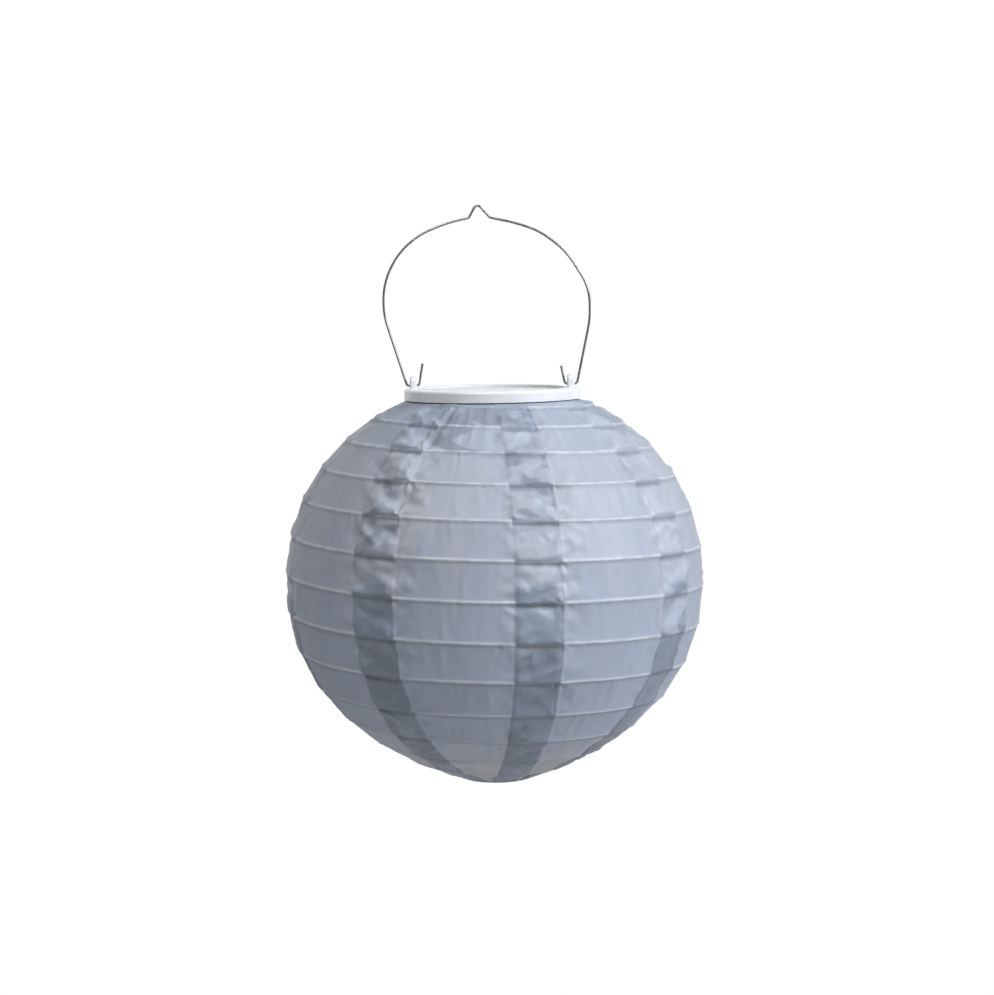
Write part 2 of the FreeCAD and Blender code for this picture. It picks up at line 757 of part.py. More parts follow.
# The round outline of the shade. Above and below its equator the radius falls off as
# radius = shade radius * (1 - (height / reach) ** fullness) ** (1 / roundness)
class Outline:
    def __init__(self):
        self.radius = s.shade_dia.value / 2
        self.equator = s.equator_level.value
        gap = s.ring_clearance.value
        self.top = (top_ring_outer.value + gap, top_ring_level.value + ring_wire_radius.value)
        self.bottom = (s.bottom_ring_dia.value / 2 + gap, ring_wire_radius.value)
        self.upper = (s.upper_fullness.value, s.upper_roundness.value)
        self.lower = (s.lower_fullness.value, s.lower_roundness.value)
        self.upper_reach = self.reach(self.top, *self.upper)
        self.lower_reach = self.reach(self.bottom, *self.lower)
        steps = 4000
        levels = [self.top[1] + (self.bottom[1] - self.top[1]) * step / steps for step in range(steps + 1)]
        self.points = [(self.radius_at(level), level) for level in levels]
        self.run = [0.0]
        for one, other in zip(self.points, self.points[1:]):
            self.run.append(self.run[-1] + math.dist(one, other))

    def reach(self, end, fullness, roundness):
        """The height at which the curve would close, so that it passes through the end."""
        radius, level = end
        share = 1 - (radius / self.radius) ** roundness
        return abs(level - self.equator) / share ** (1 / fullness)

    def radius_at(self, level):
        height = level - self.equator
        fullness, roundness = self.upper if height > 0 else self.lower
        reach = self.upper_reach if height > 0 else self.lower_reach
        return self.radius * (1 - (abs(height) / reach) ** fullness) ** (1 / roundness)

    def at(self, share):
        """Radius, level and outward normal at a share of the way down the cloth."""
        wanted = share * self.run[-1]
        low, high = 0, len(self.run) - 1
        while high - low > 1:
            middle = (low + high) // 2
            if self.run[middle] <= wanted:
                low = middle
            else:
                high = middle
        part = (wanted - self.run[low]) / (self.run[high] - self.run[low])
        one, other = self.points[low], self.points[high]
        radius = one[0] + (other[0] - one[0]) * part
        level = one[1] + (other[1] - one[1]) * part
        along = (other[0] - one[0], other[1] - one[1])
        length = math.hypot(*along)
        return radius, level, (-along[1] / length, along[0] / length)


outline = Outline()


def share_at(turns):
    """How far down the cloth the spiral is after some turns. Its pitch grows a little with each turn."""
    growth = s.spiral_growth.value
    total = s.spiral_turns.value
    if turns <= 0:
        return 0.0
    if turns >= total:
        return 1.0
    return turns * (1 + growth * turns) / (total * (1 + growth * total))


def spiral_point(turns, inward):
    """A point of the spiral, moved in from the cloth's outer face. It starts near -X and runs by -Y to +X."""
    radius, level, normal = outline.at(share_at(turns))
    angle = math.radians(s.spiral_start.value + 360 * turns)
    across = radius - normal[0] * inward
    return FreeCAD.Vector(across * math.cos(angle), across * math.sin(angle), level - normal[1] * inward)


def spiral_arcs(first, last, spans, inward):
    """The spiral as pairs of tangent arcs, one pair for each span."""
    step = (last - first) / spans
    small = step / 1000

    def heading(turns):
        return (spiral_point(turns + small, inward) - spiral_point(turns - small, inward)).normalize()

    edges = []
    for span in range(spans):
        start = spiral_point(first + step * span, inward)
        end = spiral_point(first + step * (span + 1), inward)
        edges += biarc(start, heading(first + step * span), end, heading(first + step * (span + 1)))
    return edges


def biarc(start, start_heading, end, end_heading):
    """Two arcs that leave start and reach end along the given headings and meet tangentially."""
    chord = end - start
    both = start_heading + end_heading
    across = chord.dot(both)
    spread = 2 * (1 - start_heading.dot(end_heading))
    reach = (-across + math.sqrt(across ** 2 + spread * chord.dot(chord))) / spread
    one = start + start_heading * reach
    other = end - end_heading * reach
    middle = (one + other) * 0.5
    return [arc_from(start, start_heading, middle), arc_from(middle, (other - one).normalize(), end)]


def arc_from(start, heading, end):
    """The arc from start to end that leaves along the heading."""
    chord = end - start
    turn = chord.getAngle(heading)
    sideways = chord.cross(heading.cross(chord)).normalize()
    middle = start + chord * 0.5 + sideways * (chord.Length / 2 * math.tan(turn / 2))
    return Part.Arc(start, middle, end).toShape()


def least_self_gap(points_per_turn, first, last, inward):
    """The least distance between one turn of the spiral and the next, less the wire."""
    least = float("inf")
    count = int((last - first - 1) * points_per_turn)
    for number in range(count):
        here = first + number / points_per_turn
        point = spiral_point(here, inward)
        for shift in range(-6, 7):
            other = spiral_point(min(here + 1 + shift / (points_per_turn * 4), last), inward)
            least = min(least, point.distanceToPoint(other))
    return least - s.spiral_wire_dia.value


def make_spiral():
    """The spring wire of the shade, one unbroken tube just inside the cloth."""
    inward = s.cloth_thickness.value + s.cloth_clearance.value + s.spiral_wire_dia.value / 2
    first = s.spiral_end_turns.value
    last = s.spiral_turns.value - first
    spans = math.ceil((last - first) * 4)
    path = Part.Wire(spiral_arcs(first, last, spans, inward))
    tube = tube_along(path, s.spiral_wire_dia.value / 2)
    print(f"spiral wire: {path.Length:.0f} mm long, least gap to itself",
          round(least_self_gap(24, first, last, inward), 2))
    print("spiral volume over section times length:",
          round(tube.Volume / (math.pi * (s.spiral_wire_dia.value / 2) ** 2 * path.Length), 5))
    return feature("spiral_rib", tube)


def ring(name, label, radius, level):
    made = doc.addObject("Part::Torus", name)
    bind(made, {"Radius1": radius, "Radius2": ring_wire_radius})
    place(made, ZERO, ZERO, level)
    return named(made, label)


# The cloth: eight gores, each an eighth of the ball. Between two turns of the spiral a gore is stretched
# straight, so that each turn shows as a ridge.
GORES = 8


def ridge(first, inward):
    """The ridge over the wire across one gore, as one smooth curve on even parameters."""
    pieces = 4
    shares = [piece / pieces for piece in range(pieces + 1)]
    points = [spiral_point(first + share / GORES, inward) for share in shares]
    curve = Part.BSplineCurve()
    curve.interpolate(Points=points, Parameters=shares)
    return curve


def strip(upper, lower):
    """The straight cloth between two curves on the same parameters."""
    surface = Part.BSplineSurface()
    rows = [upper.getPoles(), lower.getPoles()]
    surface.buildFromPolesMultsKnots(rows, [2, 2], upper.getMultiplicities(), [0, 1], upper.getKnots(), False,
                                     False, 1, upper.Degree)
    return surface.toShape()


def seam_faces(turns, thickness):
    """The cut edge of a gore, in the plane of its seam: one flat piece between each two ridges."""
    faces = []
    for upper, lower in zip(turns, turns[1:]):
        outside = [spiral_point(upper, 0), spiral_point(lower, 0)]
        inside = [spiral_point(lower, thickness), spiral_point(upper, thickness)]
        if outside[0].distanceToPoint(outside[1]) > thickness / 1000:
            faces.append(Part.Face(Part.makePolygon(outside + inside + outside[:1])))
    return faces


def make_gore(number):
    thickness = s.cloth_thickness.value
    first = number / GORES
    rows = math.ceil(s.spiral_turns.value - first) + 2
    turns = [first + row - 1 for row in range(rows)]
    outer = [ridge(turn, 0) for turn in turns]
    inner = [ridge(turn, thickness) for turn in turns]
    faces = [strip(upper, lower) for upper, lower in zip(outer, outer[1:])]
    faces += [strip(upper, lower) for upper, lower in zip(inner, inner[1:])]
    faces += [strip(outer[0], inner[0]), strip(outer[-1], inner[-1])]
    faces += seam_faces(turns, thickness)
    faces += seam_faces([turn + 1 / GORES for turn in turns], thickness)
    shell = Part.makeShell(faces)
    shell.sewShape()
    solid = Part.Solid(shell)
    if solid.Volume < 0:
        solid.reverse()
    return feature(f"shade_gore_{number + 1}", solid)


# The expander: a bent wire that bears up on the top ring and down on the bottom ring
def make_expander():
    radius = s.expander_wire_dia.value / 2
    gap = s.ring_clearance.value / 2
    seat = top_ring_level.value - ring_wire_radius.value - radius - gap
    foot = ring_wire_radius.value * 2 + radius + gap
    inside = housing_radius.value + radius + s.expander_reach.value
    reach = top_ring_radius.value + ring_wire_radius.value / 2
    foot_reach = bottom_ring_radius.value + s.expander_reach.value
    knee = seat - s.expander_straight_length.value
    side = [(reach, seat), (inside, seat), (inside, knee), (foot_reach, foot)]
    corners = [FreeCAD.Vector(-x, 0, z) for x, z in side] + [FreeCAD.Vector(x, 0, z) for x, z in side[::-1]]
    bend = s.expander_bend_radius.value
    hook = radius * 2
    path = bent_path(corners, [hook, bend, hook, hook, bend, hook])
    tube = tube_along(path, radius)
    made = feature("expander_frame", tube)
    made.Placement = FreeCAD.Placement(FreeCAD.Vector(), FreeCAD.Vector(0, 0, 1), s.expander_turn.value)
    return made


def main():
    nodes = [make_bail(), make_lid_casing()]
    nodes += make_panel()
    nodes += [make_housing()] + make_screws()
    nodes += make_battery() + make_door()
    nodes += make_board() + make_lamp() + make_switch()
    nodes += [
        ring("top_ring", "top_ring", top_ring_radius, top_ring_level),
        ring("bottom_ring", "bottom_ring", bottom_ring_radius, ring_wire_radius),
        make_spiral(),
        make_expander(),
    ]
    nodes += [make_gore(number) for number in range(GORES)]
    print(f"cloth: {outline.run[-1]:.1f} mm from ring to ring")
    doc.recompute()
    for thing in doc.Objects:
        if "Invalid" in thing.State or "Error" in thing.State:
            raise RuntimeError(f"{thing.Label} failed: {thing.State}")
    os.makedirs("parts", exist_ok=True)
    for node in nodes:
        shape = node.Shape
        if shape.isNull() or not shape.isValid() or not shape.Solids:
            raise RuntimeError(f"{node.Label} has no valid solid")
        shape.exportStep(f"parts/{node.Label}.step")
        print(f"{node.Label}: {len(shape.Solids)} solid, {shape.Volume / 1000:.3f} cm3")


main()
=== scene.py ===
# %% [markdown]
# # A hanging solar lantern
# A ball of thin silky cloth hangs under a white plastic lid. A spiral of spring wire inside the ball pushes
# the cloth out, so that each turn shows as a fine ridge. The lid holds a solar panel, a battery and a lamp,
# and a bent wire bail carries it all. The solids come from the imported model. This lesson gives each of them
# its finish, and makes the cloth and the small details anew.

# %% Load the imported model
import bmesh
import bpy
import math
import numpy as np
from mathutils import Euler, Matrix, Vector


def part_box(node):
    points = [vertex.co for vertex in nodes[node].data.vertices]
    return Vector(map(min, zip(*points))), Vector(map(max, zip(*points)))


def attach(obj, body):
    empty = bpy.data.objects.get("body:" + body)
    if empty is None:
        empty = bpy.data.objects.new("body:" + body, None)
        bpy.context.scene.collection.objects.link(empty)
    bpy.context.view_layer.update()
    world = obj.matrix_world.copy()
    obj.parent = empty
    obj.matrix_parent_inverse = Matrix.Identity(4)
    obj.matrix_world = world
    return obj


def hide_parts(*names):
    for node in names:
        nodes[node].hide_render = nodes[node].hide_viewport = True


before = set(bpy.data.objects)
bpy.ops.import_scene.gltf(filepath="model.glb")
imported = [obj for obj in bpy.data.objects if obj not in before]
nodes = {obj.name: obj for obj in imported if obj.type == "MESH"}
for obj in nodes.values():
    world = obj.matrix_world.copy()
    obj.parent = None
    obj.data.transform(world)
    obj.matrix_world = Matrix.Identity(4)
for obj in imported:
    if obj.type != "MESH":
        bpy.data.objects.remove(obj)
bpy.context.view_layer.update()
print("solids in the frame:", len(nodes))

# %% [markdown]
# ## Sizes of the shade
# The cloth is cut in eight gores, like the skin of an orange. The lengths below are in metres and repeat
# those of the solids, so the new cloth lies exactly where the plain solid was.

# %% Sizes
MM = 0.001
RADIUS = 0.125
EQUATOR = 0.1217
UPPER = (2.1, 2.0)
LOWER = (2.3, 1.5)
TURNS = 13.25
GROWTH = 0.0086
START = math.radians(190)
GORES = 8
RING_WIRE = 0.9 * MM
RING_GAP = 0.3 * MM
top_low, top_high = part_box("top_ring")
bottom_low, bottom_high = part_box("bottom_ring")
TOP_RING = (top_high.x - RING_WIRE, (top_low.z + top_high.z) / 2)
BOTTOM_RING = (bottom_high.x - RING_WIRE, (bottom_low.z + bottom_high.z) / 2)
TOP_EDGE = (TOP_RING[0] + RING_WIRE + RING_GAP, TOP_RING[1] + RING_WIRE)
BOTTOM_EDGE = (BOTTOM_RING[0] + RING_WIRE + RING_GAP, BOTTOM_RING[1])
print("top edge of the cloth, radius and height in mm:", [round(value / MM, 2) for value in TOP_EDGE])
print("bottom edge of the cloth, radius and height in mm:", [round(value / MM, 2) for value in BOTTOM_EDGE])

# %% [markdown]
# ## The outline of the ball
# A lantern isn't a true ball. Its upper half is fuller near the lid, and its lower half falls in more
# quickly. Each half follows one short formula, and a table of points then gives the distance along the
# cloth from the top ring.

# %% The outline as a table
def outline_radius(level):
    """radius = R * (1 - (height over the equator / reach) ** fullness) ** (1 / roundness), with one pair of
    powers for each half. The reach is the height at which the half would close, found so that the curve
    meets the ring."""
    height = np.asarray(level) - EQUATOR
    radius = np.empty_like(height)
    halves = ((height > 0, UPPER, TOP_EDGE), (height <= 0, LOWER, BOTTOM_EDGE))
    for half, (fullness, roundness), edge in halves:
        reach = abs(edge[1] - EQUATOR) / (1 - (edge[0] / RADIUS) ** roundness) ** (1 / fullness)
        radius[half] = RADIUS * (1 - (np.abs(height[half]) / reach) ** fullness) ** (1 / roundness)
    return radius


TABLE_POINTS = 6001
table_level = np.linspace(TOP_EDGE[1], BOTTOM_EDGE[1], TABLE_POINTS)
table_radius = outline_radius(table_level)
steps = np.hypot(np.diff(table_radius), np.diff(table_level))
table_run = np.concatenate([[0.0], np.cumsum(steps)])
RUN = table_run[-1]
level_slope = np.gradient(table_level, table_run)
radius_slope = np.gradient(table_radius, table_run)
table_normal = np.stack([-level_slope, radius_slope], axis=-1)
print(f"cloth from ring to ring: {RUN / MM:.1f} mm")


def on_outline(share):
    """Radius, level and outward normal at a share of the way down the cloth, read from the table."""
    run = share * RUN
    radius = np.interp(run, table_run, table_radius)
    level = np.interp(run, table_run, table_level)
    out = np.interp(run, table_run, table_normal[:, 0])
    up = np.interp(run, table_run, table_normal[:, 1])
    size = np.hypot(out, up)
    return radius, level, out / size, up / size


# %% [markdown]
# ## The spiral
# The wire makes about thirteen turns. Its pitch grows a little from turn to turn, so the share of the way
# down is a quadratic of the turns. A ridge of the cloth lies over the wire, so the same formula places the
# ridges.

# %% The spiral's share of the way down
def share_at(turns):
    """share = n * (1 + g * n) / (N * (1 + g * N)), held between 0 and 1, for n of N turns and growth g."""
    turns = np.clip(turns, 0, TURNS)
    return turns * (1 + GROWTH * turns) / (TURNS * (1 + GROWTH * TURNS))


FRONT = (math.radians(270) - START) / (2 * math.pi)
print("ridges at the front, mm down the cloth:",
      [round(float(share_at(FRONT + turn)) * RUN / MM) for turn in range(14)])


# %% [markdown]
# ## Surfaces from grids
# Each new piece is a grid of points worked out as whole arrays. One helper turns such a grid into a mesh:
# rows and columns become quads, and a closed direction joins its last points to its first.

# %% A helper that turns a grid into a mesh
def grid_piece(name, points, around=False, uv=None, marks=None, merge=0.0):
    """A mesh object from an array of points (rows, columns, 3). around joins the last column to the first.
    uv is an array (rows, columns, 2), marks a dict of arrays (rows, columns) kept as attributes."""
    rows, columns = points.shape[:2]
    index = np.arange(rows * columns).reshape(rows, columns)
    if around:
        index = np.concatenate([index, index[:, :1]], axis=1)
    around_quad = [index[:-1, :-1], index[1:, :-1], index[1:, 1:], index[:-1, 1:]]
    quads = np.stack(around_quad, axis=-1).reshape(-1, 4)
    mesh = bpy.data.meshes.new(name)
    mesh.from_pydata(points.reshape(-1, 3), [], quads.tolist())
    mesh.shade_smooth()
    if uv is not None:
        layer = mesh.uv_layers.new(name="cloth")
        corners = np.empty(len(mesh.loops), dtype=np.int32)
        mesh.loops.foreach_get("vertex_index", corners)
        layer.data.foreach_set("uv", uv.reshape(-1, 2)[corners].astype(np.float32).ravel())
    for mark, values in (marks or {}).items():
        attribute = mesh.attributes.new(mark, "FLOAT", "POINT")
        attribute.data.foreach_set("value", values.astype(np.float32).ravel())
    if merge:
        edit = bmesh.new()
        edit.from_mesh(mesh)
        bmesh.ops.remove_doubles(edit, verts=edit.verts, dist=merge)
        bmesh.ops.dissolve_degenerate(edit, edges=edit.edges, dist=merge / 10)
        for edge in edit.edges:
            edge.smooth = not edge.is_boundary
        edit.to_mesh(mesh)
        edit.free()
    piece = bpy.data.objects.new(name, mesh)
    bpy.context.scene.collection.objects.link(piece)
    return piece


# %% [markdown]
# ## Creases
# Thin nylon never lies quite smooth. Sums of sine waves with random lengths and headings make a field of
# creases. The seed is fixed, so each run gives the same cloth. Long waves with a small heading run up and
# down between two ridges. A field can be folded, so that its zero lines become crests. Crumpled cloth is
# made of flat triangles.

# %% Waves for creases
def waves(across, down, lengths, seed, slant=0.2, count=16, gap=0.0):
    """A sum of sine waves: length ** 0.6 * sin(2 pi * (across * cos h + down * sin h) / length + phase),
    over random lengths, small headings h and phases, scaled to about plus or minus one. Each gap shifts the
    phases anew."""
    chance = np.random.default_rng(seed)
    low, high = lengths
    total = np.zeros(np.broadcast(across, down, gap).shape)
    for _ in range(count):
        length = low * (high / low) ** chance.random()
        heading = slant * chance.normal()
        phase = chance.random() * 2 * math.pi + gap * (2.4 + chance.random() * 3)
        along = across * math.cos(heading) + down * math.sin(heading)
        total += length ** 0.6 * np.sin(2 * math.pi * along / length + phase)
    return total / (2.2 * total.std())


LATTICE = 97
LATTICE_BEND = 0.35


def facets(across, down, width, drop, seed):
    """Flat triangles with sharp creases, as in crumpled cloth. Random heights from -1 to 1 stand on a bent
    lattice of cells, and each cell is two flat triangles, split along one diagonal or the other in turn."""
    height = np.random.default_rng(seed).uniform(-1, 1, (LATTICE, LATTICE))
    u = across / width + LATTICE_BEND * np.sin(2.3 * down / drop + seed)
    v = down / drop + LATTICE_BEND * np.sin(1.9 * across / width + 2 * seed)
    i = np.floor(u).astype(int)
    j = np.floor(v).astype(int)
    a, b = u - i, v - j
    turned = (i + j) % 2
    a = np.where(turned, 1 - a, a)
    near, far = (i + turned) % LATTICE, (i + 1 - turned) % LATTICE
    low, high = j % LATTICE, (j + 1) % LATTICE
    first = height[near, low] * (1 - a - b) + height[far, low] * a + height[near, high] * b
    second = height[far, high] * (a + b - 1) + height[near, high] * (1 - a) + height[far, low] * (1 - b)
    return np.where(a + b < 1, first, second)


def sharp(field):
    """Folds a smooth field into sharp creases: 1 - 2 * |tanh(field)|, so its zero lines become crests."""
    return 1 - 2 * np.abs(np.tanh(field))


def smooth_step(value, low, high):
    """0 below low, 1 above high, and 3 t ** 2 - 2 t ** 3 between."""
    t = np.clip((value - low) / (high - low), 0, 1)
    return t * t * (3 - 2 * t)


def hill(value, middle, width):
    """A smooth hill of height one: exp(-((value - middle) / width) ** 2)."""
    return np.exp(-((value - middle) / width) ** 2)


# %% [markdown]
# ## One gore
# A gore reaches from the top ring to the bottom ring. Its rows follow the spiral: between two ridges lie
# twenty rows, closer together near the ridges, where the cloth bends over the wire. Between the ridges the
# cloth is stretched nearly straight. Its left edge lies over the gore before it, its right edge under the
# next one. The columns stand closer in the two laps, where the cloth is crumpled.

# %% The rows and columns of a gore
GAPS = 15
ROWS = 20
COLUMNS = 150
ROW_CROWDING = 0.55
COLUMN_CROWDING = 0.35
LAP_WIDTH = 27.5 * MM
LAP_TAPER = 0.55
LAP_TURN = math.radians(1.5)
SPAN = 2 * math.pi / GORES


def row_places():
    """Gap number and share t of the gap for each row. t = w - crowding * sin(2 pi w) / (2 pi) brings the
    rows closer together at the ridges."""
    w = np.arange(GAPS * ROWS + 1) / ROWS
    gap = np.minimum(np.floor(w), GAPS - 1)
    w = w - gap
    return gap - 1, w - ROW_CROWDING * np.sin(2 * math.pi * w) / (2 * math.pi)


def gore_grid(number):
    """Gap, share t, angle and turns of a gore's points, with half the lap's angle in each row. The lap's
    width is LAP_WIDTH * (1 - taper + taper * radius / R). A gore reaches half a lap past the seam on both
    sides. The columns c - crowding * sin(2 pi c) / (2 pi) stand closer in the laps."""
    gap, t = row_places()
    middle = (number + 0.5) / GORES
    share = share_at(middle + gap) * (1 - t) + share_at(middle + gap + 1) * t
    radius = on_outline(share)[0]
    half_lap = LAP_WIDTH * (1 - LAP_TAPER + LAP_TAPER * radius / RADIUS) / (2 * radius)
    column = np.linspace(0, 1, COLUMNS)[None, :]
    column = column - COLUMN_CROWDING * np.sin(2 * math.pi * column) / (2 * math.pi)
    first = START + LAP_TURN + number * SPAN - half_lap[:, None]
    last = START + LAP_TURN + (number + 1) * SPAN + half_lap[:, None]
    angle = first + (last - first) * column
    turns = (angle - START) / (2 * math.pi) + gap[:, None]
    return gap[:, None], t[:, None], angle, turns, half_lap[:, None]


# %% [markdown]
# ## The height of the cloth
# The cloth's height over its straight line between two ridges is a sum of plain parts, each in a function
# of its own. Over the wire lies a narrow bump with a tuck under it. The panel between two laps has upright
# creases and short puckers that hang from the wire. The lap is crumpled into flat facets, hangs in small
# pouches over the wire, and is drawn together in stars where the wire crosses the stitched edge. Two gores
# that share a lap use the same numbers for it, so both layers have the same shape and never cross. The
# first seam, at the left edge of the picture, is calm, because the photo's outline is smooth there. A lap
# also gets a painted shade: it is painted dark where its two layers are pressed together, as less light
# comes through two layers, and each seam is pressed from its own share of the way down.

# %% Ridges and panels
WIRE_FADE = (0.1, 0.25)
RIDGE_WIDTH = 0.7 * MM
TUCK_PLACE = 1.9 * MM
TUCK_WIDTH = 1.0 * MM


def ridge_parts(t, turns, room):
    """A bump over the wire at both ends of the gap, and a tuck 2 mm under the upper one, as hills of the
    distance. They fade where the spiral starts and ends."""
    under = t * room
    over = (1 - t) * room
    upper_wire = smooth_step(turns, *WIRE_FADE) * smooth_step(TURNS - turns, *WIRE_FADE)
    lower_wire = smooth_step(turns + 1, *WIRE_FADE) * smooth_step(TURNS - turns - 1, *WIRE_FADE)
    bump = upper_wire * hill(under, 0, RIDGE_WIDTH) + lower_wire * hill(over, 0, RIDGE_WIDTH)
    tuck = upper_wire * hill(under, TUCK_PLACE, TUCK_WIDTH)
    return bump, tuck, upper_wire


# Heights in millimetres, and lengths of the waves in metres
UPRIGHT = 0.09
FOLDS = 0.40
PUCKERS = 0.50
TEETH = 0.42
PATCH_LENGTHS = (25 * MM, 70 * MM)
UPRIGHT_LENGTHS = (5 * MM, 20 * MM)
FOLD_LENGTHS = (12 * MM, 34 * MM)
PUCKER_LENGTHS = (5 * MM, 14 * MM)
TEETH_LENGTHS = (5 * MM, 12 * MM)
TUFT_LENGTHS = (18 * MM, 50 * MM)


def panel_creases(number, gap, across, down, under, hump):
    """Upright waves and folds in patches, strongest in the middle of the gap, and puckers and short teeth
    that hang from the wire and fade with the distance under it."""
    patch = smooth_step(waves(across, down, PATCH_LENGTHS, 11 + number, slant=1.5), -0.3, 0.9)
    patch = 0.15 + 1.05 * patch
    upright = waves(across, down, UPRIGHT_LENGTHS, 101 + number, slant=0.1, gap=gap)
    folds = sharp(waves(across, down, FOLD_LENGTHS, 151 + number, slant=0.2, gap=gap))
    pucker = waves(across, down, PUCKER_LENGTHS, 201 + number, slant=0.15, gap=gap)
    teeth = sharp(waves(across, down, TEETH_LENGTHS, 301 + number, slant=0.35, gap=gap))
    tuft = smooth_step(waves(across, down, TUFT_LENGTHS, 251 + number, slant=0.2, gap=gap), -0.2, 0.6)
    start = smooth_step(under, 0.3 * MM, 1.6 * MM)
    creases = patch * (UPRIGHT * upright * hump ** 0.6 + FOLDS * folds * hump)
    hanging = PUCKERS * pucker * np.exp(-under / (5 * MM)) + TEETH * teeth * np.exp(-under / (3 * MM))
    return MM * (creases + hanging * tuft * start)


# %% The lap
# One share for each of the eight seams: how crumpled it is, and how deep its pouches hang
CRUMPLED = (0.4, 1.0, 1.0, 0.7, 1.0, 0.9, 0.8, 1.0)
POUCHES = (0.3, 1.0, 1.0, 1.0, 1.0, 1.0, 1.0, 1.0)
LARGE_FACETS = (13 * MM, 8 * MM)
SMALL_FACETS = (6 * MM, 4.5 * MM)
# Heights in millimetres, and lengths in metres
CRUMPLE = 2.4
POUCH = 2.6
POUCH_LENGTHS = (20 * MM, 60 * MM)
LAP_TUCK = 1.0
STITCH_WAVES = 0.22
STITCH_LENGTHS = (3.5 * MM, 9 * MM)
STITCH_GROOVE = 0.14
STITCHED_EDGE = 0.93 * LAP_WIDTH / 2
STAR_RAYS = 5
STAR_REACH = 6 * MM


def lap_crumples(seam, gap, place, down, t, room, low_down):
    """Crumples, pouches and stars of one seam. place is the distance from the lap's middle in half laps. A
    pouch is t ** 2.5 * (1 - t ** 14), deepest just over the next wire. A star is a wave of the direction
    from the point where the wire meets the stitched edge, which fades with the distance from it."""
    across = place * LAP_WIDTH / 2
    seed = 400 + seam % GORES
    reach = smooth_step(place, -1.9, -0.9) * (1 - smooth_step(place, 0.9, 2.7))
    hump = np.clip(4 * t * (1 - t), 0, 1)
    large = facets(across, down, *LARGE_FACETS, seed)
    small = facets(across + 0.4 * down, down, *SMALL_FACETS, seed + 20)
    both = (0.75 * large + 0.38 * small) * (1 - 0.40 * low_down)
    fold = reach * hump ** 0.5 * both * CRUMPLED[seam % GORES]
    height = CRUMPLE * fold
    full = 0.75 + 0.5 * waves(across, down, POUCH_LENGTHS, seed + 40, slant=1.0, gap=gap)
    full = full * POUCHES[seam % GORES]
    band = 1 - smooth_step(np.abs(place), 0.75, 1.15)
    height += POUCH * band * full * t ** 2.5 * (1 - t ** 14) * (1 - 0.7 * low_down)
    height -= LAP_TUCK * band * full * hill(t * room, 2.8 * MM, 1.8 * MM)
    edge = across - STITCHED_EDGE
    for level in (t * room, -(1 - t) * room):
        distance = np.hypot(edge, level)
        direction = np.arctan2(level, edge)
        star = np.sin(STAR_RAYS * direction + 2.1 * gap + seam) * np.exp(-distance / STAR_REACH)
        size = 0.45 + 0.4 * np.sin(2.3 * gap + seam)
        height += size * star * smooth_step(distance, 0.5 * MM, 3 * MM)
    stitches = waves(down, across, STITCH_LENGTHS, seed + 60, slant=0.3)
    height += STITCH_WAVES * stitches * hill(edge, 0, 3.2 * MM) * hump ** 0.5
    height -= STITCH_GROOVE * hill(edge, 0, 0.8 * MM)
    return MM * height, fold


# One number for each seam: from which share of the way down its layers are pressed together, how much painted
# shade it gets above that, and how much painted shade the gathered cloth beside its top gets
LAP_STARTS = (0.40, 0.43, 0.42, 0.48, 0.40, 0.30, 0.45, 0.35)
LOOSE_SHADES = (0.25, 0.33, 0.38, 0.08, 0.25, 0.30, 0.15, 0.25)
GATHER_SHADES = (0.45, 0.20, 0.60, 0.05, 0.40, 0.50, 0.20, 0.40)
TONE_PATCHES = (17 * MM, 9 * MM)


def lap_painted_shade(seam, place, down, share):
    """How much painted shade a lap gets, from 0 to 1: two layers pressed together are painted dark, as they
    let less light through, and two that lie apart stay pale. Each seam is pressed from its own share of the
    way down, in patches. At the top the gathered cloth is painted dark too, as shade in the gathers."""
    across = place * LAP_WIDTH / 2
    seed = 700 + seam % GORES
    inside = 1 - smooth_step(np.abs(place), 0.98, 1.03)
    patches = facets(across, down, *TONE_PATCHES, seed)
    start = LAP_STARTS[seam % GORES]
    pressed = smooth_step(share + 0.11 * patches, start - 0.025, start + 0.025)
    loose = LOOSE_SHADES[seam % GORES] * (1 + 1.5 * smooth_step(patches, 0.15, 0.30))
    top = smooth_step(0.8 * patches - 9 * (share - 0.11), -0.1, 0.15) * smooth_step(place, -5.6, -4.2)
    beside = (1 - smooth_step(place, 0.9, 1.3)) * (1 - smooth_step(share, 0.15, 0.18))
    top = GATHER_SHADES[seam % GORES] * top * beside
    return np.maximum(inside * np.maximum(pressed, loose), top)


# %% The whole height
RIDGE = 0.42 * MM
TUCK = 0.24 * MM
SAG = 0.25 * MM
GATHER = 0.75 * MM
GATHER_LENGTHS = (6 * MM, 20 * MM)
OVER_LAP = 0.13 * MM
EDGE_LIFT = 0.17 * MM
UNDER_LAP = 0.28 * MM
FULL_GAP = 18 * MM


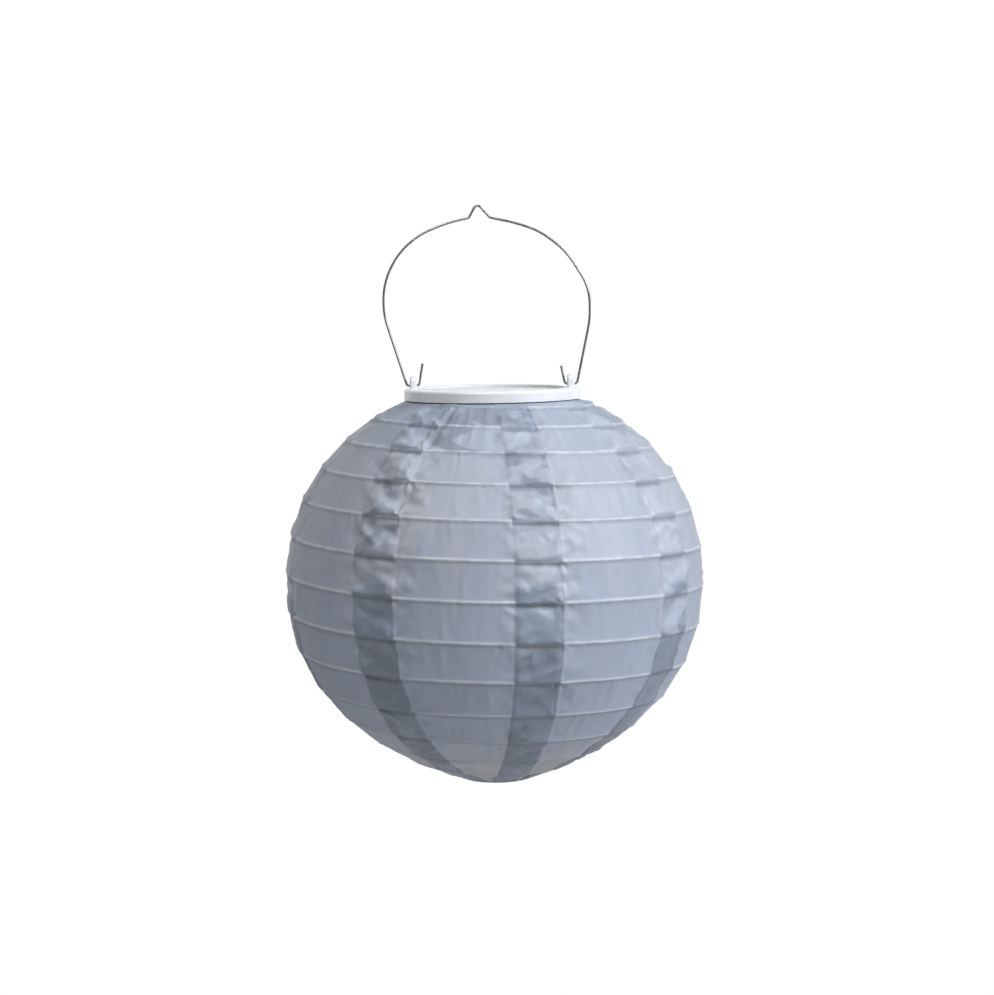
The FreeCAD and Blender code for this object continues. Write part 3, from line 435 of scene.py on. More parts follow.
def cloth_height(number, gap, t, angle, turns, half_lap, share, room):
    """The sum of all parts in metres, with marks for the finish and its painted light and shade: lap, tone,
    ridge, tuck and fold.
    """
    seam_angle = START + LAP_TURN + number * SPAN
    left = (angle - seam_angle) / half_lap
    right = (angle - seam_angle - SPAN) / half_lap
    down = share * RUN
    full = np.clip(room / FULL_GAP, 0, 1)
    hump = np.clip(4 * t * (1 - t), 0, 1)
    low_down = smooth_step(share, 0.42, 0.66)
    in_lap = np.maximum(1 - smooth_step(left, 0.97, 1.03), smooth_step(right, -1.03, -0.97))
    bump, tuck, upper_wire = ridge_parts(t, turns, room)
    own = smooth_step(left, 0.9, 1.7) * (1 - smooth_step(right, -1.7, -1.0))
    height = RIDGE * (1 - 0.8 * in_lap) * bump
    height -= TUCK * (1 + 2 * in_lap) * tuck * full
    height -= SAG * hump * full
    height += own * full * panel_creases(number, gap, angle * RADIUS, down, t * room, hump)
    next_gap = gap + (number + 1) // GORES
    left_lap, left_fold = lap_crumples(number, gap, left, down, t, room, low_down)
    right_lap, right_fold = lap_crumples(number + 1, next_gap, right, down, t, room, low_down)
    height += full * (left_lap + right_lap)
    gather = sharp(1.2 * waves(angle * TOP_EDGE[0], down * 0.3, GATHER_LENGTHS, 301, slant=0.25))
    height += GATHER * gather * np.exp(-share / 0.075) * smooth_step(share, 0.006, 0.03)
    over_lap = OVER_LAP + EDGE_LIFT * smooth_step(left, -1, -0.8)
    height += over_lap * (1 - smooth_step(left, 1.0, 1.15))
    height -= UNDER_LAP * smooth_step(right, -0.97, -0.75)
    left_painted_shade = lap_painted_shade(number, left, down, share)
    right_painted_shade = lap_painted_shade(number + 1, right, down, share)
    # The tuck mark gets more painted shade in the laps, where the pouch above overhangs the wire
    tuck = tuck + 0.7 * in_lap * hill(t * room, 3.0 * MM, 1.6 * MM) * np.clip(upper_wire, 0, 1)
    # tone carries the laps' painted shade, ridge the painted highlight over the wire, tuck the painted shade
    # under it, and fold the painted highlights and shade of the crumples
    marks = {
        "lap": in_lap,
        "tone": np.maximum(left_painted_shade, right_painted_shade),
        "ridge": (1 - in_lap) * bump,
        "tuck": tuck,
        "fold": left_fold + right_fold,
    }
    return height, marks


def hem(angle, centre, radius, first_degrees, last_degrees, rows=9):
    """Rows of cloth that turn round a ring: a circle of the hem's radius about the wire, cut at two
    angles."""
    turn = np.radians(np.linspace(first_degrees, last_degrees, rows))[:, None]
    out = centre[0] + radius * np.cos(turn)
    level = centre[1] + radius * np.sin(turn) + 0 * angle
    return np.stack([out * np.cos(angle), out * np.sin(angle), level], axis=-1)


HEM_RADIUS = RING_WIRE + 0.25 * MM
HEM_LENGTH = 4 * MM
FIRST_STEP = 0.4 * MM
CALM_EDGE = 0.006
GORE_MERGE = 0.02 * MM


def padded(values, extra):
    """Repeats the first and last row of an array for the rows of the two hems."""
    return np.pad(values, (extra, (0, 0)), mode="edge")


def flat_size(angle, radius, share):
    """Width and length of the cloth a gore is cut from, and its area, the sum of its rows and both hems."""
    width = (angle[:, -1] - angle[:, 0]) * radius.mean(axis=1)
    run = share.mean(axis=1) * RUN
    hems = 2 * HEM_LENGTH * (width[0] + width[-1]) / 2
    area = float(np.sum((width[1:] + width[:-1]) / 2 * np.diff(run)) + hems)
    return (float(width.max()), RUN + 2 * HEM_LENGTH), area


def make_gore(number):
    """One gore: straight lines between two ridges, moved along the outline's normal by the cloth's
    height."""
    gap, t, angle, turns, half_lap = gore_grid(number)
    upper = share_at(turns)
    lower = share_at(turns + 1)
    share = upper * (1 - t) + lower * t
    room = (lower - upper) * RUN
    upper_radius, upper_level = on_outline(upper)[:2]
    lower_radius, lower_level = on_outline(lower)[:2]
    out, up = on_outline(share)[2:]
    height, marks = cloth_height(number, gap, t, angle, turns, half_lap, share, room)
    calm = smooth_step(share, 0, CALM_EDGE) * smooth_step(1 - share, 0, CALM_EDGE)
    height = height * calm
    radius = upper_radius * (1 - t) + lower_radius * t + out * height
    level = upper_level * (1 - t) + lower_level * t + up * height
    points = np.stack([radius * np.cos(angle), radius * np.sin(angle), level], axis=-1)
    top_hem = hem(angle[:1], TOP_RING, HEM_RADIUS, 215, 45)
    bottom_hem = hem(angle[-1:], BOTTOM_RING, HEM_RADIUS, -8, -190)
    points = np.concatenate([top_hem, points, bottom_hem])
    extra = (len(top_hem), len(bottom_hem))
    across = (angle - angle.mean()) * RADIUS
    down = share * RUN
    uv = np.stack([padded(across, extra), padded(down, extra)], axis=-1)
    uv[:extra[0], :, 1] -= np.linspace(HEM_LENGTH, FIRST_STEP, extra[0])[:, None]
    uv[-extra[1]:, :, 1] += np.linspace(FIRST_STEP, HEM_LENGTH, extra[1])[:, None]
    marks["down"] = share
    marks = {mark: padded(values + 0 * share, extra) for mark, values in marks.items()}
    piece = grid_piece(f"silk_gore_{number + 1}", points, uv=uv, marks=marks, merge=GORE_MERGE)
    return piece, *flat_size(angle, radius, share)


# %% [markdown]
# The eight gores are made one after another. A Solidify modifier gives each its thickness inwards. Each
# rides on the shade's body and stands for its plain solid. The size it was cut to is worked out, and that of
# the first gore is printed.

# %% Make the eight gores
CLOTH_THICKNESS = 0.12 * MM
gores = []
for number in range(GORES):
    gore, flat, area = make_gore(number)
    wall = gore.modifiers.new("cloth", "SOLIDIFY")
    wall.thickness = CLOTH_THICKNESS
    wall.offset = -1
    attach(gore, "shade")
    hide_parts(f"shade_gore_{number + 1}")
    gores.append(gore)
    if number == 0:
        print(f"a gore is cut {flat[0] * 1000:.0f} x {flat[1] * 1000:.0f} mm, {area * 1e4:.0f} cm2")
print("faces in a gore:", len(gores[0].data.polygons))

# %% [markdown]
# ## Screws
# Pan-head screws hold the housing and the battery door. A screw is one polar grid: a low dome with a cross
# recess, the flat under the head, and the shank. The recess is a part of the dome's height formula, so that
# its walls belong to the surface. The screws stand for the plain ones of the model.

# %% Screws with a cross recess
SCREW_HEAD = 2.5 * MM
SCREW_SHANK = 1.2 * MM
SCREW_RISE = 1.5 * MM
SCREW_EDGE = 0.05 * MM
HEAD_CROWN = 0.55
RECESS_DEPTH = 0.45
ROUND_STEPS = 96


def screw(name, x, y, seat, tip, body, node):
    """Height under the seat = rise * (1 - crown + crown * (1 - (r / R) ** 4) ** 0.5), less the recess where
    |x| or |y| is under a tenth of the head's radius. It looks down, so the height runs along -Z. The shank
    reaches up to the tip."""
    r = np.concatenate([np.linspace(0.02, 0.98, 30) ** 0.9, [1.0]])[:, None]
    turn = np.linspace(0, 2 * math.pi, ROUND_STEPS, endpoint=False)[None, :]
    px = r * np.cos(turn)
    py = r * np.sin(turn)
    dome = np.clip(1 - r ** 4, 0, 1) ** 0.5 * HEAD_CROWN + (1 - HEAD_CROWN)
    slot = 1 - smooth_step(np.minimum(np.abs(px), np.abs(py)), 0.07, 0.13)
    slot = slot * (1 - smooth_step(r, 0.5, 0.58))
    drop = SCREW_RISE * (dome - RECESS_DEPTH * slot)
    head = np.stack([x + SCREW_HEAD * px, y + SCREW_HEAD * py, seat - drop], axis=-1)
    rings = np.array([
        (SCREW_HEAD, seat - SCREW_EDGE), (SCREW_HEAD - SCREW_EDGE, seat),
        (SCREW_SHANK + SCREW_EDGE, seat), (SCREW_SHANK, seat + SCREW_EDGE),
        (SCREW_SHANK, tip - SCREW_EDGE), (SCREW_SHANK - SCREW_EDGE, tip), (0.0, tip),
    ])
    radius = rings[:, :1]
    level = rings[:, 1:]
    shank = np.stack([x + radius * np.cos(turn), y + radius * np.sin(turn), level + 0 * turn], axis=-1)
    middle = np.zeros_like(head[:1]) + (x, y, seat - SCREW_RISE * (1 - RECESS_DEPTH))
    points = np.concatenate([middle, head, shank])[:, ::-1]
    piece = grid_piece(name, points, around=True, merge=0.001 * MM)
    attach(piece, body)
    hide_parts(node)
    return piece


screws = []
housing_low, housing_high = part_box("lid_bottom_housing")
housing_radius = housing_high.x
HOUSING_WALL = 1.6 * MM
BOSS_INSET = 7.4 * MM
SCREW_ANGLES = (30, 150, 270)
boss_radius = housing_radius - HOUSING_WALL - BOSS_INSET
low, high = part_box("housing_screws")
for number, degrees in enumerate(SCREW_ANGLES):
    turn = math.radians(degrees)
    x = boss_radius * math.cos(turn)
    y = boss_radius * math.sin(turn)
    name = f"housing_screw_{number + 1}"
    screws.append(screw(name, x, y, low.z + SCREW_RISE, high.z, "lid", "housing_screws"))
low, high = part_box("battery_door_screw")
x = (low.x + high.x) / 2
y = (low.y + high.y) / 2
screws.append(screw("door_screw", x, y, low.z + SCREW_RISE, high.z, "battery_door", "battery_door_screw"))
print("screws:", len(screws))


# %% [markdown]
# ## Turned and drawn details
# Small round parts are a profile turned about an axis. The lamp has a cup with its phosphor, and the dome
# sits in a low collar. The battery door has finger ridges, and the solar cells carry flat silver
# conductors.

# %% Round details
def turned(name, profile, steps=ROUND_STEPS):
    """Carries a profile of radius and level round the lantern's axis: (r cos a, r sin a, level)."""
    profile = np.asarray(profile)
    turn = np.linspace(0, 2 * math.pi, steps, endpoint=False)[None, :]
    r = profile[:, :1]
    points = np.stack([r * np.cos(turn), r * np.sin(turn), profile[:, 1:] + 0 * turn], axis=-1)
    return grid_piece(name, points, around=True, merge=0.001 * MM)


def half_round(radius, size, level):
    """A half-round bead: radius + half width * cos a, level - height * sin a, with a from 0 to half a turn.
    It is reversed, so that its faces point down and out."""
    half_width, height = size
    a = np.linspace(0, math.pi, 12)
    return np.stack([radius + half_width * np.cos(a), level - height * np.sin(a)], axis=-1)[::-1]


# Half width and height of the two beads
COLLAR = (0.9 * MM, 0.8 * MM)
BEAD = (0.6 * MM, 0.35 * MM)
BEAD_INSET = 5 * MM
dome_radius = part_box("led_diffuser")[1].x
collar = turned("dome_collar", half_round(dome_radius + COLLAR[0], COLLAR, housing_low.z))
rim_bead = turned("housing_bead", half_round(housing_radius - BEAD_INSET, BEAD, housing_low.z))
CUP_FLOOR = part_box("led_bulb")[0].z + 4.2 * MM
CUP_LIP = CUP_FLOOR - 0.8 * MM
CUP_BACK = CUP_FLOOR + 1.2 * MM
CUP_LINE = [
    (0, CUP_FLOOR),
    (0.9 * MM, CUP_FLOOR),
    (1.15 * MM, CUP_LIP),
    (1.25 * MM, CUP_LIP),
    (1.25 * MM, CUP_BACK),
    (0, CUP_BACK),
]
cup = turned("lamp_cup", CUP_LINE, steps=32)
for piece, slot in ((collar, "white_plastic"), (rim_bead, "white_plastic"), (cup, "contact_metal")):
    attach(piece, "lid")
print("collar, bead and lamp cup made")


# %% Bars: finger ridges on the door and conductors on the cells
def bars(name, centres, length, size, level, along):
    """Half-round bars side by side: each is a half circle scaled to width and height, carried along its
    length and drawn in at both ends by (1 - s ** 8) ** 0.5, with s from -1 to 1 along the bar."""
    width, height = size
    s = np.linspace(-1, 1, 25)[:, None]
    a = np.linspace(0, math.pi, 9)[None, :]
    draw = np.clip(1 - s ** 8, 0, 1) ** 0.5
    side = width / 2 * np.cos(a) * draw
    rise = height * np.sin(a) * draw
    run = length / 2 * s + 0 * a
    pieces = []
    for number, (x, y) in enumerate(centres):
        if along == "Y":
            points = np.stack([x + side, y + run, level + rise], axis=-1)
        else:
            points = np.stack([x + run, y + side, level + rise], axis=-1)
        pieces.append(grid_piece(f"{name}_{number + 1}", points, merge=0.001 * MM))
    with bpy.context.temp_override(active_object=pieces[0], selected_editable_objects=pieces):
        bpy.ops.object.join()
    pieces[0].name = name
    return pieces[0]


def turn_outward(piece):
    """Recalculates the normals of a closed or nearly closed piece, after its doubles are merged."""
    edit = bmesh.new()
    edit.from_mesh(piece.data)
    bmesh.ops.recalc_face_normals(edit, faces=edit.faces)
    edit.to_mesh(piece.data)
    edit.free()


# Width and height of the bars. The ridges of the door stand downwards.
GRIP = (0.9 * MM, -0.45 * MM)
RIBBON = (1.1 * MM, 0.08 * MM)
TAB = (0.9 * MM, 0.12 * MM)
GRIPS = 5
GRIP_STEP = 1.8 * MM
GRIP_INSET = 7 * MM
door_low, door_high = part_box("battery_door")
door_middle = (door_low.y + door_high.y) / 2
grip_centres = [(door_low.x + GRIP_INSET + GRIP_STEP * number, door_middle) for number in range(GRIPS)]
grip_length = door_high.y - door_low.y - 5 * MM
grips = bars("door_grips", grip_centres, grip_length, GRIP, door_low.z, "Y")
STRIPS = 4
STRIP_GAP = 1 * MM
SUNK = 0.01 * MM
cells_low, cells_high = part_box("solar_cells")
strip_width = (cells_high.x - cells_low.x - (STRIPS - 1) * STRIP_GAP) / STRIPS
first_strip = cells_low.x + strip_width / 2
ribbon_centres = [(first_strip + (strip_width + STRIP_GAP) * number, 0) for number in range(STRIPS)]
ribbon_length = cells_high.y - cells_low.y - 1.5 * MM
ribbons = bars("cell_ribbons", ribbon_centres, ribbon_length, RIBBON, cells_high.z - SUNK, "Y")
TAB_GAP = 0.6 * MM
tab_centres = [(0, cells_high.y + TAB_GAP), (0, cells_low.y - TAB_GAP)]
tab_length = cells_high.x - cells_low.x - strip_width
board_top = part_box("solar_cell_board")[1].z
tabs = bars("cell_tabs", tab_centres, tab_length, TAB, board_top - SUNK, "X")
details = (
    (grips, "battery_door", "white_plastic"),
    (ribbons, "lid", "contact_metal"),
    (tabs, "lid", "contact_metal"),
)
for piece, body, slot in details:
    turn_outward(piece)
    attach(piece, body)
print("finger ridges, conductors and tabs made")


# %% [markdown]
# ## Finishes
# A finish is a small graph of nodes. One helper starts a material with its shader, and a few more add
# noise, a blend of two colours and a bump, so that each finish below reads as a short list of what the real
# surface shows.

# %% Helpers for node graphs
class Graph:
    """The nodes of a new material, or of a world, with short calls to add, link and set them."""

    def __init__(self, name, world=None):
        self.material = world or bpy.data.materials.new(name)
        self.material.use_nodes = True
        self.tree = self.material.node_tree
        self.shader = self.tree.nodes["Background" if world else "Principled BSDF"]
        self.output = self.tree.nodes["World Output" if world else "Material Output"]

    def add(self, kind, inputs=None, **settings):
        node = self.tree.nodes.new("ShaderNode" + kind)
        for key, value in settings.items():
            setattr(node, key, value)
        for key, value in (inputs or {}).items():
            self.put(node.inputs[key], value)
        return node

    def put(self, socket, value):
        if isinstance(value, bpy.types.NodeSocket):
            self.tree.links.new(value, socket)
        else:
            socket.default_value = value

    def set(self, **inputs):
        """Sets sockets of the shader, with an underscore for each space, and returns the material."""
        for key, value in inputs.items():
            self.put(self.shader.inputs[key.replace("_", " ")], value)
        return self.material

    def place(self, source="Object", scale=(1, 1, 1)):
        """Coordinates in metres, stretched by a scale along each axis."""
        where = self.add("TexCoord").outputs[source]
        return self.add("Mapping", {"Vector": where, "Scale": scale}).outputs[0]

    def mark(self, name):
        """A number that the mesh carries at each point, such as whether it lies in a lap."""
        return self.add("Attribute", attribute_name=name).outputs["Fac"]

    def noise(self, where, scale, detail=4.0, rough=0.5, distortion=0.0):
        settings = {"Vector": where, "Scale": scale, "Detail": detail, "Roughness": rough}
        return self.add("TexNoise", {**settings, "Distortion": distortion}).outputs["Fac"]

    def blend(self, share, first, second):
        made = self.add("Mix", data_type="RGBA")
        self.put(made.inputs["Factor"], share)
        self.put(made.inputs[6], first)
        self.put(made.inputs[7], second)
        return made.outputs[2]

    def spread(self, value, low, high, to_low=0.0, to_high=1.0):
        """Carries the range low..high of a value to to_low..to_high."""
        carried = {"Value": value, "From Min": low, "From Max": high, "To Min": to_low, "To Max": to_high}
        return self.add("MapRange", carried).outputs[0]

    def math(self, operation, first, second=0.0):
        made = self.add("Math", operation=operation)
        self.put(made.inputs[0], first)
        self.put(made.inputs[1], second)
        return made.outputs[0]

    def bump(self, height, distance, strength=1.0, normal=None):
        made = self.add("Bump", {"Height": height, "Distance": distance, "Strength": strength})
        if normal is not None:
            self.put(made.inputs["Normal"], normal)
        return made.outputs[0]


def tint(red, green, blue):
    """An opaque colour from linear shares of red, green and blue."""
    return (red, green, blue, 1.0)


# %% [markdown]
# ### Silky cloth
# The cloth is thin nylon. It is pale blue-grey where it is one layer. Where two gores are pressed together
# it gets a painted shade, darker and bluer, because less light comes through two layers. One layer is bluest
# at the top and below the middle, and greyest at the bottom. The sewn tunnel over the wire gets a painted
# highlight, broken up in patches and weaker low down, and the tuck under it a painted shade. Crests of the
# crumples get a painted highlight, and their hollows a painted shade. Fine streaks run down the threads, and
# the weave is a bump far finer than the creases. A part of the light goes through the cloth, which a
# translucent shader gives.

# %% The colours of the cloth
PALE_COOL = tint(0.525, 0.580, 0.675)
PALE_WARM = tint(0.620, 0.632, 0.698)
PALE_STREAK = tint(0.730, 0.745, 0.800)
PALE_CLOUD = tint(0.500, 0.535, 0.610)
TOP_COOL = tint(0.560, 0.635, 0.740)
LOW_COOL = tint(0.525, 0.595, 0.715)
BOTTOM_GREY = tint(0.665, 0.635, 0.625)
# Painted shade where two layers are pressed together, as less light comes through them
SHADED_DOUBLE_GREY = tint(0.270, 0.302, 0.372)
SHADED_DOUBLE_BLUE = tint(0.355, 0.422, 0.520)
# Painted highlight on the crests of the crumples and painted shade in their hollows
PAINTED_CREST_HIGHLIGHT = tint(0.760, 0.800, 0.850)
PAINTED_HOLLOW_SHADE = tint(0.270, 0.310, 0.375)
# Painted shade in the tuck under the wire and a painted highlight on the tunnel over it
PAINTED_SHADE_UNDER_WIRE = tint(0.300, 0.330, 0.390)
PAINTED_RIDGE_HIGHLIGHT = tint(0.840, 0.855, 0.900)


def pale_cloth(graph, streaks, clouds, lower):
    """One layer: two pale tones in wide streaks, fine streaks, soft clouds, and a tone for each level."""
    wide_streaks = graph.noise(graph.place("UV", (1, 0.20, 1)), 62, detail=3, distortion=0.6)
    pale = graph.blend(graph.spread(wide_streaks, 0.35, 0.68), PALE_COOL, PALE_WARM)
    pale = graph.blend(graph.spread(streaks, 0.50, 0.72, 0.0, 0.32), pale, PALE_STREAK)
    pale = graph.blend(graph.spread(clouds, 0.35, 0.70, 0.0, 0.30), pale, PALE_CLOUD)
    pale = graph.blend(graph.spread(lower, 0.03, 0.20, 0.7, 0.0), pale, TOP_COOL)
    below = graph.spread(lower, 0.35, 0.52, 0.0, 0.6)
    cool = graph.math("MULTIPLY", below, graph.spread(lower, 0.95, 0.82))
    pale = graph.blend(cool, pale, LOW_COOL)
    return graph.blend(graph.spread(lower, 0.76, 0.92, 0.0, 0.9), pale, BOTTOM_GREY)


def painted_crease_light(graph, cloth, fold):
    """Painted highlight on the crests of the crumples and painted shade in their hollows."""
    cloth = graph.blend(graph.spread(fold, 0.20, 0.50, 0.0, 0.22), cloth, PAINTED_CREST_HIGHLIGHT)
    return graph.blend(graph.spread(fold, -0.20, -0.55, 0.0, 0.24), cloth, PAINTED_HOLLOW_SHADE)


def painted_wire_light(graph, cloth, lower, lap):
    """Painted shade in the tuck under the wire, most in the laps and low down. A painted highlight on the
    tunnel over the wire, broken up in patches and weaker low down."""
    tuck = graph.mark("tuck")
    deep = graph.spread(graph.math("ADD", lower, lap), 0.45, 0.85, 0.28, 0.60)
    # painted shade in the tuck under the wire
    cloth = graph.blend(graph.math("MULTIPLY", tuck, deep), cloth, PAINTED_SHADE_UNDER_WIRE)
    # painted highlight over the wire, broken up in patches by noise
    highlight_breakup = graph.spread(graph.noise(graph.place("UV", (1, 0.3, 1)), 110, detail=3), 0.38, 0.58, 0.50, 1.0)
    ridge_highlight = graph.math("MULTIPLY", graph.mark("ridge"), highlight_breakup)
    ridge_highlight = graph.math("MULTIPLY", ridge_highlight, graph.spread(lower, 0.58, 0.80, 1.0, 0.3))
    return graph.blend(ridge_highlight, cloth, PAINTED_RIDGE_HIGHLIGHT)


# %% The weave and the whole cloth
THREADS = 520
WEAVE_DEPTH = 0.02 * MM
CREASE_DEPTH = 0.14 * MM


def weave(graph):
    """Fine threads both ways as a bump, with creases along the gore over them."""
    threads = []
    for way in ("X", "Y"):
        settings = {"Vector": graph.place("UV"), "Scale": THREADS, "Distortion": 0.4, "Detail Scale": 2.0}
        threads.append(graph.add("TexWave", settings, bands_direction=way).outputs["Fac"])
    woven = graph.bump(graph.math("ADD", *threads), WEAVE_DEPTH, 0.5)
    creases = graph.noise(graph.place("UV", (1, 0.15, 1)), 170, detail=3, rough=0.5)
    return graph.bump(creases, CREASE_DEPTH, 0.8, woven)


def silk():
    """The whole cloth: its colour by level, with painted shade in the laps and painted light and shade at the
    wire and the crumples, its weave, and a share of light that goes through.
    """
    graph = Graph("silky_cloth")
    lap = graph.mark("lap")
    streaks = graph.noise(graph.place("UV", (1, 0.045, 1)), 190, detail=5, rough=0.5)
    clouds = graph.noise(graph.place("UV"), 18, detail=3)
    patches = graph.noise(graph.place("UV", (1, 0.7, 1)), 42, detail=4, distortion=0.8)
    lower = graph.math("ADD", graph.mark("down"), graph.spread(patches, 0.3, 0.7, -0.07, 0.07))
    # painted shade of the pressed laps and the gathers, blended in by the tone mark
    shaded_double = graph.blend(graph.spread(clouds, 0.35, 0.7), SHADED_DOUBLE_GREY, SHADED_DOUBLE_BLUE)
    cloth = graph.blend(graph.mark("tone"), pale_cloth(graph, streaks, clouds, lower), shaded_double)
    cloth = painted_crease_light(graph, cloth, graph.mark("fold"))
    cloth = painted_wire_light(graph, cloth, lower, lap)
    normal = weave(graph)
    graph.set(Base_Color=cloth, Roughness=graph.spread(streaks, 0.3, 0.7, 0.38, 0.52), Normal=normal)
    graph.set(Sheen_Weight=0.2, Sheen_Roughness=0.35, Specular_IOR_Level=0.45, Anisotropic=0.3)
    through = graph.add("BsdfTranslucent", {"Color": cloth, "Normal": normal})
    share = graph.spread(lap, 0.0, 1.0, 0.36, 0.26)
    both = graph.add("MixShader", {0: share, 1: graph.shader.outputs[0], 2: through.outputs[0]})
    graph.put(graph.output.inputs["Surface"], both.outputs[0])
    return graph.material


# %% [markdown]
# ### Moulded plastic, metal and the rest
# White polystyrene has a slight gloss, a faint unevenness from the mould, and a little dust. Drawn steel is
# a dull grey with a fine grain, and springs, contacts and screws differ from it in tone and gloss. The
# window is clear with faint wipe marks, the dome is milky, and the cells are dark blue silicon with silver
# fingers.

# %% Plastics
GRAIN_SCALE = 2600
GRAIN_DEPTH = 0.012 * MM


def moulded(name, colour, dusty, rough, coat=0.0):
    """Moulded plastic: soft noise blends two close colours and varies the gloss, and fine grain is a
    bump."""
    graph = Graph(name)
    where = graph.place()
    soft = graph.noise(where, 45, detail=3)
    grain = graph.noise(where, GRAIN_SCALE, detail=2)
    graph.set(Base_Color=graph.blend(graph.spread(soft, 0.35, 0.7), colour, dusty))
    graph.set(Roughness=graph.spread(soft, 0.3, 0.7, rough - 0.05, rough + 0.07), Coat_Weight=coat)
    return graph.set(Normal=graph.bump(grain, GRAIN_DEPTH, 0.6))


def window_sheet():
    """A clear sheet that lets the cells show, with faint haze and wipe marks in its roughness."""
    graph = Graph("clear_window_sheet")
    wipes = graph.noise(graph.place(scale=(1, 6, 1)), 60, detail=4, distortion=0.8)
    graph.set(Base_Color=graph.blend(wipes, tint(0.90, 0.93, 0.95), tint(0.97, 0.98, 0.98)))
    graph.set(Roughness=graph.spread(wipes, 0.3, 0.8, 0.05, 0.16))
    return graph.set(Transmission_Weight=0.94, IOR=1.49)


def frosted(name, colour, rough, through, milky):
    """Milky plastic: soft clouds in the colour, and light that goes through it with a rough surface."""
    graph = Graph(name)
    clouds = graph.noise(graph.place(), 400, detail=3)
    graph.set(Base_Color=graph.blend(clouds, colour, tint(0.97, 0.97, 0.96)), Roughness=rough, IOR=1.49)
    graph.set(Transmission_Weight=through, Subsurface_Weight=milky)
    return graph.set(Normal=graph.bump(clouds, 0.01 * MM, 0.4))


# %% Metals
def drawn_metal(name, colour, dull, rough, scale=900):
    """Metal: fine times wide noise blends two greys, the wide one varies the gloss, the fine one is a
    bump."""
    graph = Graph(name)
    where = graph.place()
    fine = graph.noise(where, scale, detail=4, rough=0.6)
    wide = graph.noise(where, scale / 12, detail=2)
    share = graph.math("MULTIPLY", fine, wide)
    graph.set(Base_Color=graph.blend(graph.spread(share, 0.15, 0.40), dull, colour), Metallic=1.0)
    graph.set(Roughness=graph.spread(wide, 0.3, 0.7, rough - 0.07, rough + 0.1))
    return graph.set(Normal=graph.bump(fine, 0.01 * MM, 0.5))


# %% Cells, board and battery
def solar_cell():
    """Dark blue silicon with fine silver fingers across each strip, a wave of narrow bright lines."""
    graph = Graph("solar_cell_blue")
    where = graph.place()
    crystals = graph.add("TexVoronoi", {"Vector": where, "Scale": 260}).outputs["Color"]
    shade = graph.add("SeparateColor", {"Color": crystals}).outputs[0]
    dark, blue = tint(0.012, 0.022, 0.075), tint(0.020, 0.045, 0.150)
    body = graph.blend(graph.math("MULTIPLY", shade, 0.6), dark, blue)
    lines = graph.add("TexWave", {"Vector": where, "Scale": 105}, bands_direction="Y").outputs["Fac"]
    finger = graph.math("GREATER_THAN", lines, 0.985)
    graph.set(Base_Color=graph.blend(finger, body, tint(0.45, 0.47, 0.50)), Roughness=0.22, Coat_Weight=0.6)
    return graph.set(Metallic=graph.math("MULTIPLY", finger, 0.8))


def green_board():
    """Green solder mask over copper tracks, which show as a lighter and raised brick-like pattern."""
    graph = Graph("green_circuit_board")
    where = graph.place()
    tracks = graph.add("TexBrick", {"Vector": where, "Scale": 260, "Mortar Size": 0.09}).outputs["Fac"]
    mask = graph.blend(tracks, tint(0.012, 0.090, 0.035), tint(0.035, 0.200, 0.085))
    graph.set(Base_Color=mask, Roughness=0.32, Coat_Weight=0.4)
    return graph.set(Normal=graph.bump(tracks, 0.03 * MM, 0.7))


SLEEVE_END = 24.2 * MM


def battery_wrap():
    """A plain green sleeve with bare metal at both ends, told apart by the distance along the cell."""
    graph = Graph("battery_sleeve")
    along = graph.add("SeparateXYZ", {"Vector": graph.place()}).outputs["X"]
    end = graph.math("GREATER_THAN", graph.math("ABSOLUTE", along), SLEEVE_END)
    fine = graph.noise(graph.place(scale=(1, 8, 8)), 300, detail=3)
    green, pale_green = tint(0.030, 0.160, 0.075), tint(0.045, 0.200, 0.095)
    sleeve = graph.blend(graph.spread(fine, 0.3, 0.7), green, pale_green)
    graph.set(Base_Color=graph.blend(end, sleeve, tint(0.62, 0.62, 0.61)), Metallic=end)
    return graph.set(Roughness=graph.spread(fine, 0.3, 0.7, 0.25, 0.38))


# %% [markdown]
# Each node and each new piece now takes its finish. The table below is the whole paint list.

# %% The paint list
white = moulded("white_plastic_gloss", tint(0.80, 0.81, 0.82), tint(0.74, 0.75, 0.765), 0.30, coat=0.15)
black = moulded("black_plastic_satin", tint(0.018, 0.018, 0.020), tint(0.030, 0.030, 0.032), 0.45)
seal = moulded("seal_bead", tint(0.62, 0.63, 0.64), tint(0.70, 0.71, 0.72), 0.55)
backing = moulded("cell_backing", tint(0.015, 0.020, 0.045), tint(0.025, 0.030, 0.060), 0.4)
red = moulded("red_insulation", tint(0.42, 0.02, 0.015), tint(0.50, 0.03, 0.02), 0.4)
component = moulded("component_black", tint(0.02, 0.02, 0.022), tint(0.05, 0.045, 0.04), 0.5)
steel = drawn_metal("bail_steel", tint(0.36, 0.36, 0.37), tint(0.26, 0.26, 0.27), 0.34, scale=3200)
spring_steel = drawn_metal("spring_steel", tint(0.42, 0.43, 0.44), tint(0.24, 0.24, 0.25), 0.36)
contact = drawn_metal("contact_nickel", tint(0.72, 0.71, 0.68), tint(0.52, 0.51, 0.49), 0.28, scale=2400)
screw_steel = drawn_metal("screw_zinc", tint(0.55, 0.55, 0.56), tint(0.36, 0.36, 0.37), 0.34, scale=3000)
